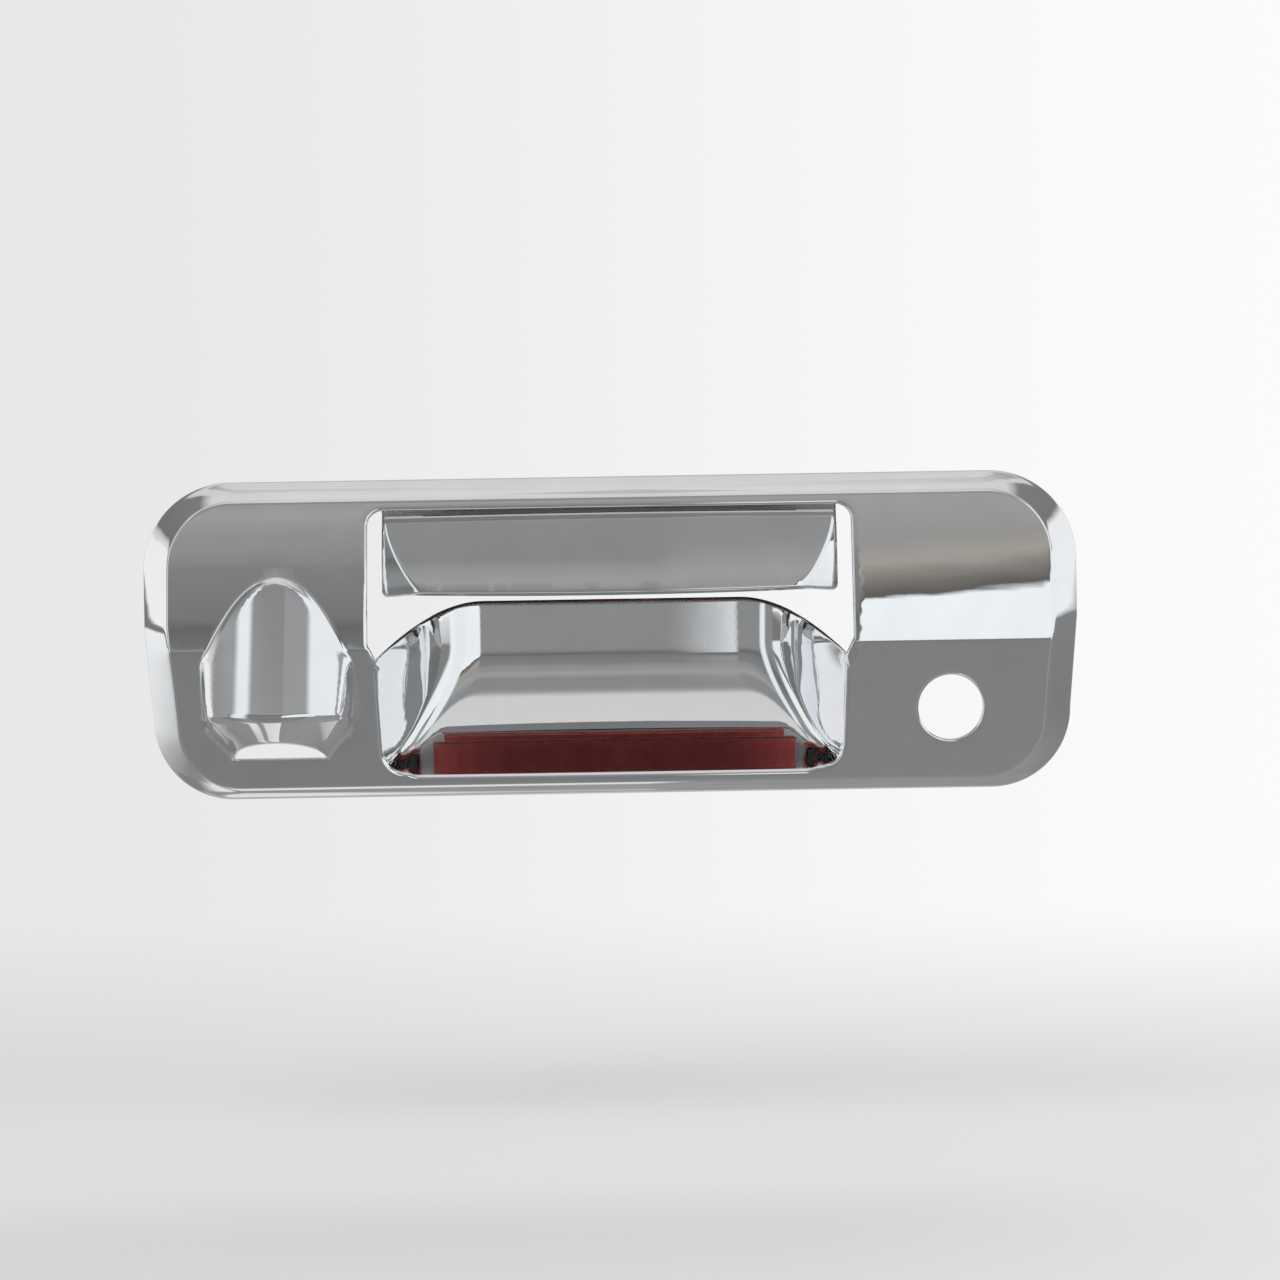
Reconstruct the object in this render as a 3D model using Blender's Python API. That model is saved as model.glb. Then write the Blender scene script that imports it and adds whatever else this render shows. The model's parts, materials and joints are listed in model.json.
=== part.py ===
"""Pickup tailgate handle: chrome bezel with camera hood, finger scoop and pull lever.

Metres, +Z up, +X to the right, the front faces -Y. The origin is the centre of the
bezel's outline, in the plane of the tailgate skin that the handle seats on (y = 0).
"""
import math

import bmesh
import bpy
from mathutils import Matrix, Vector, geometry

MM = 0.001
GAP = 0.3  # clearance between pieces that touch or fit, in mm like every size below

# Bezel outline and border
HALF_WIDTH = 181.75
TOP_Z = 62.0
BOTTOM_Z = -61.5
TOP_CORNER_R = 34.0
BOTTOM_CORNER_R = 31.0
SIDE_TAPER = 3.2  # how far each lower side leans inwards
BORDER_SIDE = 10.8
BORDER_TOP = 8.0
BORDER_BOTTOM = 4.0
WALL = 2.6
RIM_LIP = 2.0
GASKET_THICK = 1.2
GASKET_WIDTH = 3.0
RIM_SEAT = 2.4  # width of the flat ring at the back of the rim

# Bezel faces, as depths in front of the skin
RIDGE_Z = -4.0
RIDGE_DEPTH = 20.5
TOP_EDGE_DEPTH = 10.5
BOTTOM_EDGE_DEPTH = 7.0
FACE_CROWN = 1.0

# Window and finger scoop
WINDOW_HALF = 93.6
WINDOW_TOP = 49.6
WINDOW_CORNER = 6.0
SCOOP_HALF = 90.8
SCOOP_BOTTOM = -53.6
SCOOP_CORNER = 11.0
ARCH_TOP = 14.6
ARCH_END = -8.0
SCOOP_BACK = 22.0
SCOOP_SIDE_RUN = 40.0
EDGE_MARGIN = 0.4
FOLD_Z = -6.2
FOLD_SLOPE = 0.15

# Lock hole
LOCK_X = 131.0
LOCK_Z = -29.8
LOCK_R = 12.5

# Camera hood
HOOD_X = -129.3
HOOD_APEX_Z = 23.5
HOOD_HALF = 29.0
HOOD_SHOULDER_Z = -12.0
HOOD_COLLAR_Z = -29.5
HOOD_BOTTOM_Z = -45.5
HOOD_APEX_DEPTH = 18.0
HOOD_FRONT_DEPTH = 35.0
MOUTH_HALF = 17.75
MOUTH_RISE = 6.2
MOUTH_REACH = 20.0

# Lever: a plate that leans forwards at its foot, drawn round its hinge
PIVOT_Y = 6.0
PIVOT_Z = 41.0
LEVER_LEAN = math.radians(15.0)
LEVER_HALF = 88.4
LEVER_FACE = 13.2
LEVER_TOP = 7.0
LEVER_FOOT = -27.8
LEVER_WALL = 2.2
LEVER_BULGE = 2.0
LEVER_RISE = 0.9
LEVER_CURVE = 3.2
LEVER_CROWN = 0.8
LEVER_SAG = 1.5  # how much lower the foot is in the middle
LEVER_CORNER = 2.4
FACET_DROP = 0.42
FACET_WALL = 1.8
TAPE_THICK = 0.8
TAPE_HALF = 70.0
CORE_THICK = 3.0
CORE_HALF = 84.0
CORE_TOP = 1.5
CORE_FOOT = -12.0
LUG_X = 60.0
LUG_WIDTH = 8.0
LUG_R = 6.3
BUSH_R = 4.0
BUSH_FLANGE = 1.0
PIN_R = 2.5
PIN_HALF = 75.0

# Carrier behind the lever
EAR_R = 5.8
EAR_NECK = 2.0  # how far the ear's neck stands in front of the hinge
EAR_THICK = 3.5
ROOF_Z = 55.8
CARRIER_TOP = 58.6
RAIL_BOTTOM = 52.6
RAIL_FRONT = 4.0
RAIL_BACK = 9.0
BACK_FRONT = 26.0
BACK_THICK = 2.5
BACK_HALF = 74.0
BACK_BOTTOM = 18.0
ARM_X = 105.0
ARM_HALF = 6.5
ARM_BOTTOM = 7.0
ARM_HALF_THICK = 2.0
BOSS_Z = (13.5, 43.0)
BOSS_R = 5.2
SCREW_R = 2.0
SCREW_HEAD_R = 4.4
SCREW_HEAD = 2.6
SCREW_DEPTH = 9.0
STOP_R = 4.2
STOP_Z = 30.0
HEEL_Y = 15.0

# Crank
CRANK_Z = 35.5
CRANK_FRONT = 31.0
CRANK_THICK = 3.0
CRANK_ARM = 15.0
CRANK_PUSH = 14.0
CRANK_HALF = 4.4
CRANK_HUB = 7.2
CRANK_PIN_R = 3.0
PUSHER_R = 3.0
PUSHER_NECK = 2.0
PUSHER_FRONT = 16.0
TIP_R = 2.5
TIP_Y = 20.0
TIP_RUN = 6.5  # length of the actuator's straight underside beside its tip
CLIP_STEM = 2.5
CLIP_HALF_X = 7.5
CLIP_HALF_Z = 4.0
CLIP_DEPTH = 8.5
ROD_SLOT = 2.7

# Spring
SPRING_R = 5.2
WIRE_R = 0.75
SPRING_TURNS = 5
WIRE_STEPS = 12
WIRE_SIDES = 5
SPRING_START_X = -26.0
SPRING_PITCH = 2.4

# Fixing studs
POST_X = 157.0
POST_Z = 38.0
POST_R = 6.6
STUD_R = 3.0
STUD_BACK = 20.0
STUD_SINK = 6.5
GRIP = 2.2  # tailgate skin with the stiffener behind it
NUT_R = 5.8
NUT_HEIGHT = 5.0
NUT_FLANGE_R = 6.8
NUT_FLANGE = 1.2

CHROME = ("chrome_plate", (0.62, 0.62, 0.64), 0.06, 1.0)
BLACK = ("black_nylon", (0.03, 0.03, 0.032), 0.55, 0.0)
STEEL = ("zinc_steel", (0.55, 0.55, 0.52), 0.35, 1.0)
RED = ("red_film", (0.45, 0.03, 0.025), 0.35, 0.0)
RUBBER = ("rubber", (0.02, 0.02, 0.02), 0.8, 0.0)
WHITE = ("acetal", (0.75, 0.74, 0.7), 0.4, 0.0)


def clear_scene():
    """Start from an empty scene."""
    for item in list(bpy.data.objects):
        bpy.data.objects.remove(item, do_unlink=True)


def material(spec):
    """Return the named Principled material, made once."""
    name, colour, roughness, metallic = spec
    found = bpy.data.materials.get(name)
    if found:
        return found
    made = bpy.data.materials.new(name)
    made.use_nodes = True
    shader = made.node_tree.nodes["Principled BSDF"]
    shader.inputs["Base Color"].default_value = (*colour, 1.0)
    shader.inputs["Roughness"].default_value = roughness
    shader.inputs["Metallic"].default_value = metallic
    made.diffuse_color = (*colour, 1.0)
    return made


def solid(name, points, faces, spec):
    """Make an object from points in mm and its faces, with every face pointing out."""
    mesh = bpy.data.meshes.new(name)
    mesh.from_pydata([Vector(point) * MM for point in points], [], faces)
    form = bmesh.new()
    form.from_mesh(mesh)
    bmesh.ops.recalc_face_normals(form, faces=form.faces)
    if form.calc_volume(signed=True) < 0.0:
        bmesh.ops.reverse_faces(form, faces=form.faces)
    form.to_mesh(mesh)
    form.free()
    mesh.materials.append(material(spec))
    mesh.shade_smooth()
    mesh.set_sharp_from_angle(angle=math.radians(35.0))
    made = bpy.data.objects.new(name, mesh)
    bpy.context.collection.objects.link(made)
    return made


def prism(name, outline, axis, low, high, spec, frame=None):
    """Extrude a closed outline along X, Y or Z between two heights.

    The outline's two coordinates are the other two axes in X, Y, Z order.
    """
    count = len(outline)
    points = []
    for level in (low, high):
        for first, second in outline:
            place = [first, second]
            place.insert(axis, level)
            points.append(frame @ Vector(place) if frame else Vector(place))
    faces = [list(range(count)), list(range(count, 2 * count))]
    for index in range(count):
        after = (index + 1) % count
        faces.append([index, after, count + after, count + index])
    return solid(name, points, faces, spec)


def box(name, low, high, spec, frame=None):
    """Make a block between two corners."""
    outline = [(low[0], low[1]), (high[0], low[1]), (high[0], high[1]), (low[0], high[1])]
    return prism(name, outline, 2, low[2], high[2], spec, frame)


def arc(centre, radius, start, stop, steps):
    """Points on an arc, angles in degrees."""
    points = []
    for step in range(steps + 1):
        angle = math.radians(start + (stop - start) * step / steps)
        points.append((centre[0] + radius * math.cos(angle), centre[1] + radius * math.sin(angle)))
    return points


def circle(centre, radius, sides=24):
    """A closed ring of points."""
    return arc(centre, radius, 0.0, 360.0, sides)[:-1]


def turned(name, profile, axis, centre, spec, sides=18):
    """Turn a profile of (place along the axis, radius) pairs, closed at both ends."""
    rings = []
    points = []
    for place, radius in profile:
        ring = []
        for first, second in circle(centre, radius, sides):
            spot = [first, second]
            spot.insert(axis, place)
            ring.append(len(points))
            points.append(spot)
        rings.append(ring)
    faces = [rings[0], rings[-1]]
    for here, there in zip(rings, rings[1:]):
        for index in range(sides):
            after = (index + 1) % sides
            faces.append([here[index], here[after], there[after], there[index]])
    return solid(name, points, faces, spec)


def apply_boolean(target, tool, operation):
    """Join a tool to the target or cut it away, and remove the tool."""
    change = target.modifiers.new(operation.lower(), "BOOLEAN")
    change.operation = operation
    change.solver = "EXACT"
    change.object = tool
    graph = bpy.context.evaluated_depsgraph_get()
    result = bpy.data.meshes.new_from_object(target.evaluated_get(graph))
    target.modifiers.remove(change)
    target.data = result
    bpy.data.objects.remove(tool, do_unlink=True)


def join(target, *tools):
    """Union several tools into the target."""
    for tool in tools:
        apply_boolean(target, tool, "UNION")


def cut(target, *tools):
    """Cut several tools out of the target."""
    for tool in tools:
        apply_boolean(target, tool, "DIFFERENCE")


def drill(target, centre, radius, axis, low, high, sides=18):
    """Cut a round hole through the target."""
    cut(target, turned("drill", [(low, radius), (high, radius)], axis, centre, STEEL, sides))


# ---------------------------------------------------------------- bezel outlines


def side_x(z):
    """Half width of the outline's straight side, which leans in below the crease."""
    fall = max(0.0, 5.0 - z) / (5.0 - (BOTTOM_Z + BOTTOM_CORNER_R))
    return HALF_WIDTH - SIDE_TAPER * min(1.0, fall)


def outline_half(side, top, bottom):
    """Right half of the outline pulled in by a border, from the top to the bottom."""
    top_r = TOP_CORNER_R - (side + top) / 2
    low_r = BOTTOM_CORNER_R - (side + bottom) / 2
    top_z = TOP_Z - top
    low_z = BOTTOM_Z + bottom
    corner_z = top_z - top_r
    foot_z = low_z + low_r
    high_x = HALF_WIDTH - side
    low_x = HALF_WIDTH - SIDE_TAPER - side
    points = [(x, top_z) for x in (0.0, 24.0, 48.0, 72.0, 96.0, 122.0)]
    points += arc((high_x - top_r, corner_z), top_r, 90.0, 0.0, 8)
    points += [(high_x, 14.0), (high_x, RIDGE_Z + 4.0), (side_x(RIDGE_Z) - side, RIDGE_Z)]
    points += [(side_x(-18.0) - side, -18.0)]
    points += arc((low_x - low_r, foot_z), low_r, 0.0, -90.0, 8)
    points += [(x, low_z) for x in (122.0, 96.0, 72.0, 48.0, 24.0, 0.0)]
    return points


def mirrored(half):
    """Close a right half that starts and ends on the centre line."""
    return half + [(-x, z) for x, z in reversed(half[1:-1])]


def inside(point, loop):
    """Whether a point lies within a closed loop."""
    x, z = point
    within = False
    for (ax, az), (bx, bz) in zip(loop, loop[1:] + loop[:1]):
        if (az > z) != (bz > z) and x < (bx - ax) * (z - az) / (bz - az) + ax:
            within = not within
    return within


def arch_z(x):
    """Height of the scoop's free upper edge."""
    rest = min(1.0, max(0.0, 1.0 - (SCOOP_HALF - abs(x)) / SCOOP_SIDE_RUN))
    return ARCH_TOP - (ARCH_TOP - ARCH_END) * rest * rest


def window_loop():
    """The open window above the scoop's free edge."""
    high = WINDOW_TOP - WINDOW_CORNER
    half = [(0.0, WINDOW_TOP), (30.0, WINDOW_TOP), (60.0, WINDOW_TOP)]
    half += arc((WINDOW_HALF - WINDOW_CORNER, high), WINDOW_CORNER, 90.0, 0.0, 4)
    half += [(WINDOW_HALF, 28.0), (WINDOW_HALF, 12.0), (WINDOW_HALF, -2.5), (SCOOP_HALF, ARCH_END)]
    for step in range(1, 9):
        x = SCOOP_HALF - SCOOP_SIDE_RUN * step / 8
        half.append((x, arch_z(x)))
    half += [(26.0, ARCH_TOP), (0.0, ARCH_TOP)]
    return mirrored(half)


def scoop_foot():
    """The scoop's front edge from its right end round the bottom to its left end."""
    right = [(SCOOP_HALF, ARCH_END), (SCOOP_HALF - 0.3, -19.0), (SCOOP_HALF - 0.6, -31.0)]
    right += arc(
        (SCOOP_HALF - 1.0 - SCOOP_CORNER, SCOOP_BOTTOM + SCOOP_CORNER), SCOOP_CORNER, 0.0, -90.0, 5
    )
    right += [(60.0, SCOOP_BOTTOM), (40.0, SCOOP_BOTTOM), (20.0, SCOOP_BOTTOM), (0.0, SCOOP_BOTTOM)]
    return right + [(-x, z) for x, z in reversed(right[:-1])]


def hood_half(z):
    """Half width of the hood's foot on the face at a height."""
    if z > HOOD_SHOULDER_Z:
        rise = (HOOD_APEX_Z - z) / (HOOD_APEX_Z - HOOD_SHOULDER_Z)
        return HOOD_HALF * math.sin(math.radians(90.0) * max(0.0, rise) ** 0.8)
    fall = (HOOD_SHOULDER_Z - z) / (HOOD_SHOULDER_Z - HOOD_BOTTOM_Z)
    return MOUTH_HALF + (HOOD_HALF - MOUTH_HALF) * (1.0 - fall ** 3.2) ** 0.75


def hood_loop():
    """The hood's foot on the face, with a flat bottom between the mouth's corners."""
    levels = [21.5, 17.0, 11.0, 4.0, RIDGE_Z, -12.0, -20.0, -28.0, -34.0, -39.0, -42.5]
    right = [(HOOD_X + hood_half(z), z) for z in levels]
    left = [(HOOD_X - hood_half(z), z) for z in levels]
    foot = [(HOOD_X + MOUTH_HALF, HOOD_BOTTOM_Z), (HOOD_X - MOUTH_HALF, HOOD_BOTTOM_Z)]
    return [(HOOD_X, HOOD_APEX_Z)] + right + foot + list(reversed(left))


def mouth_arc():
    """The mouth's front lip, from its left corner over to its right."""
    points = []
    for step in range(13):
        angle = math.radians(180.0 - 15.0 * step)
        points.append(
            (HOOD_X + MOUTH_HALF * math.cos(angle), HOOD_BOTTOM_Z + MOUTH_RISE * math.sin(angle))
        )
    return points


# ---------------------------------------------------------------- bezel depths


def face_y(x, z):
    """The crowned face: an upper and a lower part that meet at the crease."""
    crown = FACE_CROWN * (x / HALF_WIDTH) ** 2
    if z > RIDGE_Z:
        rise = (z - RIDGE_Z) / (TOP_Z - BORDER_TOP - RIDGE_Z)
        back = (RIDGE_DEPTH - TOP_EDGE_DEPTH) * (0.45 * rise + 0.55 * rise * rise)
    else:
        fall = (RIDGE_Z - z) / (RIDGE_Z - BOTTOM_Z - BORDER_BOTTOM)
        back = (RIDGE_DEPTH - BOTTOM_EDGE_DEPTH) * fall
    return crown + back - RIDGE_DEPTH


def scoop_wall_y(z):
    """Back wall above the fold, and below it the floor that sweeps forwards."""
    if z >= FOLD_Z:
        return SCOOP_BACK
    run = FOLD_Z - z
    whole = FOLD_Z - SCOOP_BOTTOM
    reach = SCOOP_BACK - face_y(0.0, SCOOP_BOTTOM) - FOLD_SLOPE * whole
    return SCOOP_BACK - FOLD_SLOPE * run - reach * (run / whole) ** 2


def scoop_y(x, z):
    """Depth of the scoop's inside, the nearer of its side bowl and its back."""
    edge = face_y(SCOOP_HALF, z)
    run = min(1.0, max(0.0, (SCOOP_HALF - abs(x)) / SCOOP_SIDE_RUN))
    bowl = edge + (SCOOP_BACK - edge) * (1.0 - (1.0 - run) ** 2)
    return min(bowl, scoop_wall_y(z))


def hood_y(x, z):
    """Depth of the hood's outside, down to the mouth's lip."""
    across = abs(x - HOOD_X)
    level = max(z, HOOD_COLLAR_Z)
    fall = (HOOD_APEX_Z - level) / (HOOD_APEX_Z - HOOD_COLLAR_Z)
    front = -HOOD_APEX_DEPTH - (HOOD_FRONT_DEPTH - HOOD_APEX_DEPTH) * fall
    share = min(1.0, across / max(hood_half(level), 0.1))
    rise = (1.0 - share ** 2.0) ** 0.5
    face = face_y(x, level)
    skin = face + (min(front, face) - face) * rise
    if z >= HOOD_COLLAR_Z:
        return skin
    share = min(1.0, across / MOUTH_HALF)
    lip_z = HOOD_BOTTOM_Z + MOUTH_RISE * math.sqrt(1.0 - share * share)
    lip_y = face_y(x, HOOD_BOTTOM_Z) - MOUTH_REACH * math.sqrt(1.0 - share * share)
    if across >= MOUTH_HALF:
        lip_z = HOOD_BOTTOM_Z + (across - MOUTH_HALF) * 1.1
        lip_y = face_y(x, z)
    down = min(1.0, (HOOD_COLLAR_Z - z) / max(HOOD_COLLAR_Z - lip_z, 0.1))
    return skin + (lip_y - skin) * down


# ---------------------------------------------------------------- sheet with openings


def spread(loops, step, region):
    """Inner points on a grid that keep clear of the loops."""
    low_x = min(x for x, z in region)
    high_x = max(x for x, z in region)
    low_z = min(z for x, z in region)
    high_z = max(z for x, z in region)
    near = [point for loop in loops for point in loop]
    points = []
    columns = int((high_x - low_x) / step)
    rows = int((high_z - low_z) / step)
    for column in range(columns + 1):
        for row in range(rows + 1):
            spot = (low_x + step * (column + 0.5), low_z + step * (row + 0.5))
            if not inside(spot, region):
                continue
            if min((spot[0] - x) ** 2 + (spot[1] - z) ** 2 for x, z in near) > (step * 0.55) ** 2:
                points.append(spot)
    return points


def triangulate(loops, lines, extra, keep):
    """Fill the plane between loops and lines, and keep the triangles that pass a test."""
    points = []
    edges = []
    for loop in loops:
        start = len(points)
        points += loop
        edges += [(start + i, start + (i + 1) % len(loop)) for i in range(len(loop))]
    for line in lines:
        start = len(points)
        points += line
        edges += [(start + i, start + i + 1) for i in range(len(line) - 1)]
    points += extra
    spots = [Vector(point) for point in points]
    found = geometry.delaunay_2d_cdt(spots, edges, [], 0, 0.02)
    places = [(spot.x, spot.y) for spot in found[0]]
    faces = []
    for face in found[2]:
        middle = [sum(places[i][axis] for i in face) / len(face) for axis in (0, 1)]
        if keep(middle):
            faces.append(list(face))
    return places, faces


def thicken(name, front, back, faces, spec):
    """Close a sheet given by its front and its back points into one solid."""
    used = sorted({index for face in faces for index in face})
    order = {old: new for new, old in enumerate(used)}
    count = len(used)
    points = [front[i] for i in used] + [back[i] for i in used]
    fronts = [[order[i] for i in face] for face in faces]
    whole = list(fronts)
    whole += [[count + i for i in reversed(face)] for face in fronts]
    sides = {}
    for face in fronts:
        for here, there in zip(face, face[1:] + face[:1]):
            sides[(here, there)] = True
    for here, there in sides:
        if (there, here) not in sides:
            whole.append([there, here, count + here, count + there])
    return solid(name, points, whole, spec)


def slants(points, faces):
    """How much each point's normal faces the front, from 0 to 1."""
    sums = [Vector((0.0, 0.0, 0.0)) for point in points]
    for face in faces:
        a, b, c = (Vector(points[i]) for i in face[:3])
        normal = (b - a).cross(c - a)
        for index in face:
            sums[index] += normal
    return [abs(total.normalized().y) if total.length else 1.0 for total in sums]


def bezel():
    """The chrome moulding: border, faces, hood and scoop, with posts and bosses behind."""
    rim = mirrored(outline_half(0.0, 0.0, 0.0))
    seat = mirrored(outline_half(RIM_SEAT, RIM_SEAT * 0.8, RIM_SEAT * 0.5))
    contour = mirrored(outline_half(BORDER_SIDE, BORDER_TOP, BORDER_BOTTOM))
    window = window_loop()
    foot = scoop_foot()
    scoop = scoop_area(foot)
    hood = hood_loop()
    mouth = mouth_arc()
    lock = circle((LOCK_X, LOCK_Z), LOCK_R, 28)
    ridge_half = side_x(RIDGE_Z) - BORDER_SIDE
    lines = [
        [(-ridge_half, RIDGE_Z), (-(-HOOD_X + HOOD_HALF + 6.0), RIDGE_Z)],
        [(SCOOP_HALF + 8.0, RIDGE_Z), (ridge_half, RIDGE_Z)],
        foot,
        mouth,
        [(HOOD_X - 23.0, HOOD_COLLAR_Z), (HOOD_X, HOOD_COLLAR_Z), (HOOD_X + 23.0, HOOD_COLLAR_Z)],
        [(-51.0, FOLD_Z), (-17.0, FOLD_Z), (17.0, FOLD_Z), (51.0, FOLD_Z)],
    ]
    near = [rim, contour, window, foot, hood, mouth, lock]
    extra = spread(near, 15.0, contour)
    extra = [p for p in extra if not inside(p, scoop) and not inside(p, hood)]
    extra += spread(near, 8.0, scoop)
    extra += spread(near, 5.5, hood)

    def keep(middle):
        if not inside(middle, rim):
            return False
        return not (inside(middle, window) or inside(middle, lock) or inside(middle, mouth))

    places, faces = triangulate([rim, seat, contour, window, hood, lock], lines, extra, keep)
    rim_y = -GASKET_THICK - GAP
    front = []
    for place in places:
        if inside(place, scoop) and not on_loop(place, foot):
            depth = scoop_y(*place)
        elif inside(place, hood):
            depth = hood_y(*place)
        else:
            depth = face_y(*place)
        front.append((place[0], min(depth, SCOOP_BACK), place[1]))
    front = border_depths(front, rim, seat, contour, rim_y)
    facing = slants(front, faces)
    back = []
    for (x, y, z), slant in zip(front, facing):
        behind = y + WALL / max(slant, 0.45)
        if on_loop((x, z), rim) or on_loop((x, z), seat):
            behind = rim_y
        back.append((x, behind, z))
    made = thicken("bezel", front, back, faces, CHROME)
    for across in (-POST_X, POST_X):
        for up in (-POST_Z, POST_Z):
            start = face_y(across, up) + WALL * 0.5
            join(made, turned("post", [(start, POST_R), (0.0, POST_R)], 1, (across, up), CHROME))
            drill(made, (across, up), STUD_R + GAP, 1, -STUD_SINK - GAP, 1.0)
    for across in (-ARM_X, ARM_X):
        for up in BOSS_Z:
            start = face_y(across, up) + WALL * 0.5
            end = -ARM_HALF_THICK - GAP
            join(made, turned("boss", [(start, BOSS_R), (end, BOSS_R)], 1, (across, up), CHROME))
            drill(made, (across, up), SCREW_R + GAP, 1, -SCREW_DEPTH - 2 * GAP, 1.0)
    return made


def scoop_area(foot):
    """The scoop's whole area: its foot closed just past the free edge."""
    top = []
    steps = 24
    for step in range(1, steps):
        x = -SCOOP_HALF + 2 * SCOOP_HALF * step / steps
        top.append((x, arch_z(x) + EDGE_MARGIN))
    return foot + top


def on_loop(place, loop):
    """Whether a place is one of a loop's own points."""
    return min((place[0] - x) ** 2 + (place[1] - z) ** 2 for x, z in loop) < 0.01


def border_depths(front, rim, seat, contour, rim_y):
    """Give the border's loops their depths, from the face down to the rim's lip."""
    lip_y = rim_y - RIM_LIP
    result = []
    for x, y, z in front:
        if on_loop((x, z), rim):
            y = lip_y
        elif on_loop((x, z), seat):
            index = min(
                range(len(seat)), key=lambda i: (seat[i][0] - x) ** 2 + (seat[i][1] - z) ** 2
            )
            inner = face_y(*contour[index])
            whole = math.dist(rim[index], contour[index])
            y = lip_y + (inner - lip_y) * math.dist(rim[index], seat[index]) / whole
        result.append((x, y, z))
    return result


def gasket():
    """Foam ring between the bezel's rim and the tailgate skin."""
    outer = mirrored(outline_half(GAP, GAP, GAP))
    inner = mirrored(outline_half(GASKET_WIDTH, GASKET_WIDTH, GASKET_WIDTH))
    count = len(outer)
    points = []
    for depth in (-GASKET_THICK, 0.0):
        for loop in (outer, inner):
            points += [(x, depth, z) for x, z in loop]
    faces = []
    for i in range(count):
        j = (i + 1) % count
        faces.append([i, j, count + j, count + i])
        faces.append([2 * count + i, 3 * count + i, 3 * count + j, 2 * count + j])
        faces.append([i, 2 * count + i, 2 * count + j, j])
        faces.append([count + i, count + j, 3 * count + j, 3 * count + i])
    return solid("gasket", points, faces, RUBBER)


# ---------------------------------------------------------------- lever


def lever_frame():
    """From the lever's own axes (across, back, up) to the world."""
    return Matrix.Translation((0.0, PIVOT_Y, PIVOT_Z)) @ Matrix.Rotation(-LEVER_LEAN, 4, "X")


def crease_x(up):
    """Where the lever's bulged face ends and its end facet begins."""
    share = min(1.0, max(0.0, (up - LEVER_FOOT) / (LEVER_TOP - LEVER_FOOT)))
    return 73.0 + 14.5 * math.sin(math.radians(90.0) * share) ** 0.8


def lever_face(x, up):
    """How far back the lever's face lies, in its own axes."""
    share = (up - LEVER_FOOT) / (LEVER_TOP - LEVER_FOOT)
    bulge = LEVER_BULGE + LEVER_RISE * share - LEVER_CURVE * share * share
    edge = crease_x(up)
    across = min(abs(x), edge)
    bulge -= LEVER_CROWN * (across / LEVER_HALF) ** 2
    bulge -= FACET_DROP * max(0.0, abs(x) - edge)
    return -LEVER_FACE - bulge


def foot_up(x):
    """Height of the lever's foot, which sags towards the middle."""
    return LEVER_FOOT - LEVER_SAG * (1.0 - (x / LEVER_HALF) ** 2)


def lever_cover():
    """Chrome paddle: a bulged front with end facets and a foot that sags in the middle."""
    half = [(x, LEVER_TOP) for x in (0.0, 16.0, 32.0, 48.0, 64.0, 78.0)]
    half += [(LEVER_HALF, LEVER_TOP), (LEVER_HALF, -3.0), (LEVER_HALF, -12.0), (LEVER_HALF, -20.0)]
    half += arc(
        (LEVER_HALF - LEVER_CORNER, LEVER_FOOT + LEVER_CORNER), LEVER_CORNER, 0.0, -90.0, 3
    )
    half += [(x, foot_up(x)) for x in (78.0, 64.0, 48.0, 32.0, 16.0, 0.0)]
    loop = mirrored(half)
    lines = []
    for side in (-1.0, 1.0):
        levels = [LEVER_FOOT + 0.5, -24.0, -19.0, -13.0, -7.0, -1.0, LEVER_TOP - 0.5]
        lines.append([(side * crease_x(up), up) for up in levels])
    extra = spread([loop] + lines, 9.0, loop)
    places, faces = triangulate([loop], lines, extra, lambda middle: inside(middle, loop))
    frame = lever_frame()
    front = [frame @ Vector((x, lever_face(x, up), up)) for x, up in places]
    flat_back = -LEVER_FACE + LEVER_WALL
    back = []
    for x, up in places:
        depth = max(flat_back, lever_face(x, up) + FACET_WALL)
        back.append(frame @ Vector((x, depth, up)))
    return thicken("lever_cover", front, back, faces, CHROME)


def tape(name, low, high, half):
    """One strip of red film on the back of the lever cover."""
    start = -LEVER_FACE + LEVER_WALL + GAP
    return box(name, (-half, start, low), (half, start + TAPE_THICK, high), RED, lever_frame())


def lug_outline(heel):
    """Side shape of a hinge lug round the pin, with a heel that meets its bump stop."""
    front = core_back() - 0.5
    points = arc((0.0, 0.0), LUG_R, 150.0, 0.0, 8)
    points += [(heel, -6.0), (heel, CORE_FOOT + 1.0), (heel - 3.0, CORE_FOOT - 1.0)]
    points += [(front, CORE_FOOT), (front, CORE_TOP - 1.0)]
    return points


def core_front():
    """Front of the core, just behind the tape."""
    return -LEVER_FACE + LEVER_WALL + TAPE_THICK + 2 * GAP


def core_back():
    """Back of the core's beam."""
    return core_front() + CORE_THICK


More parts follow.
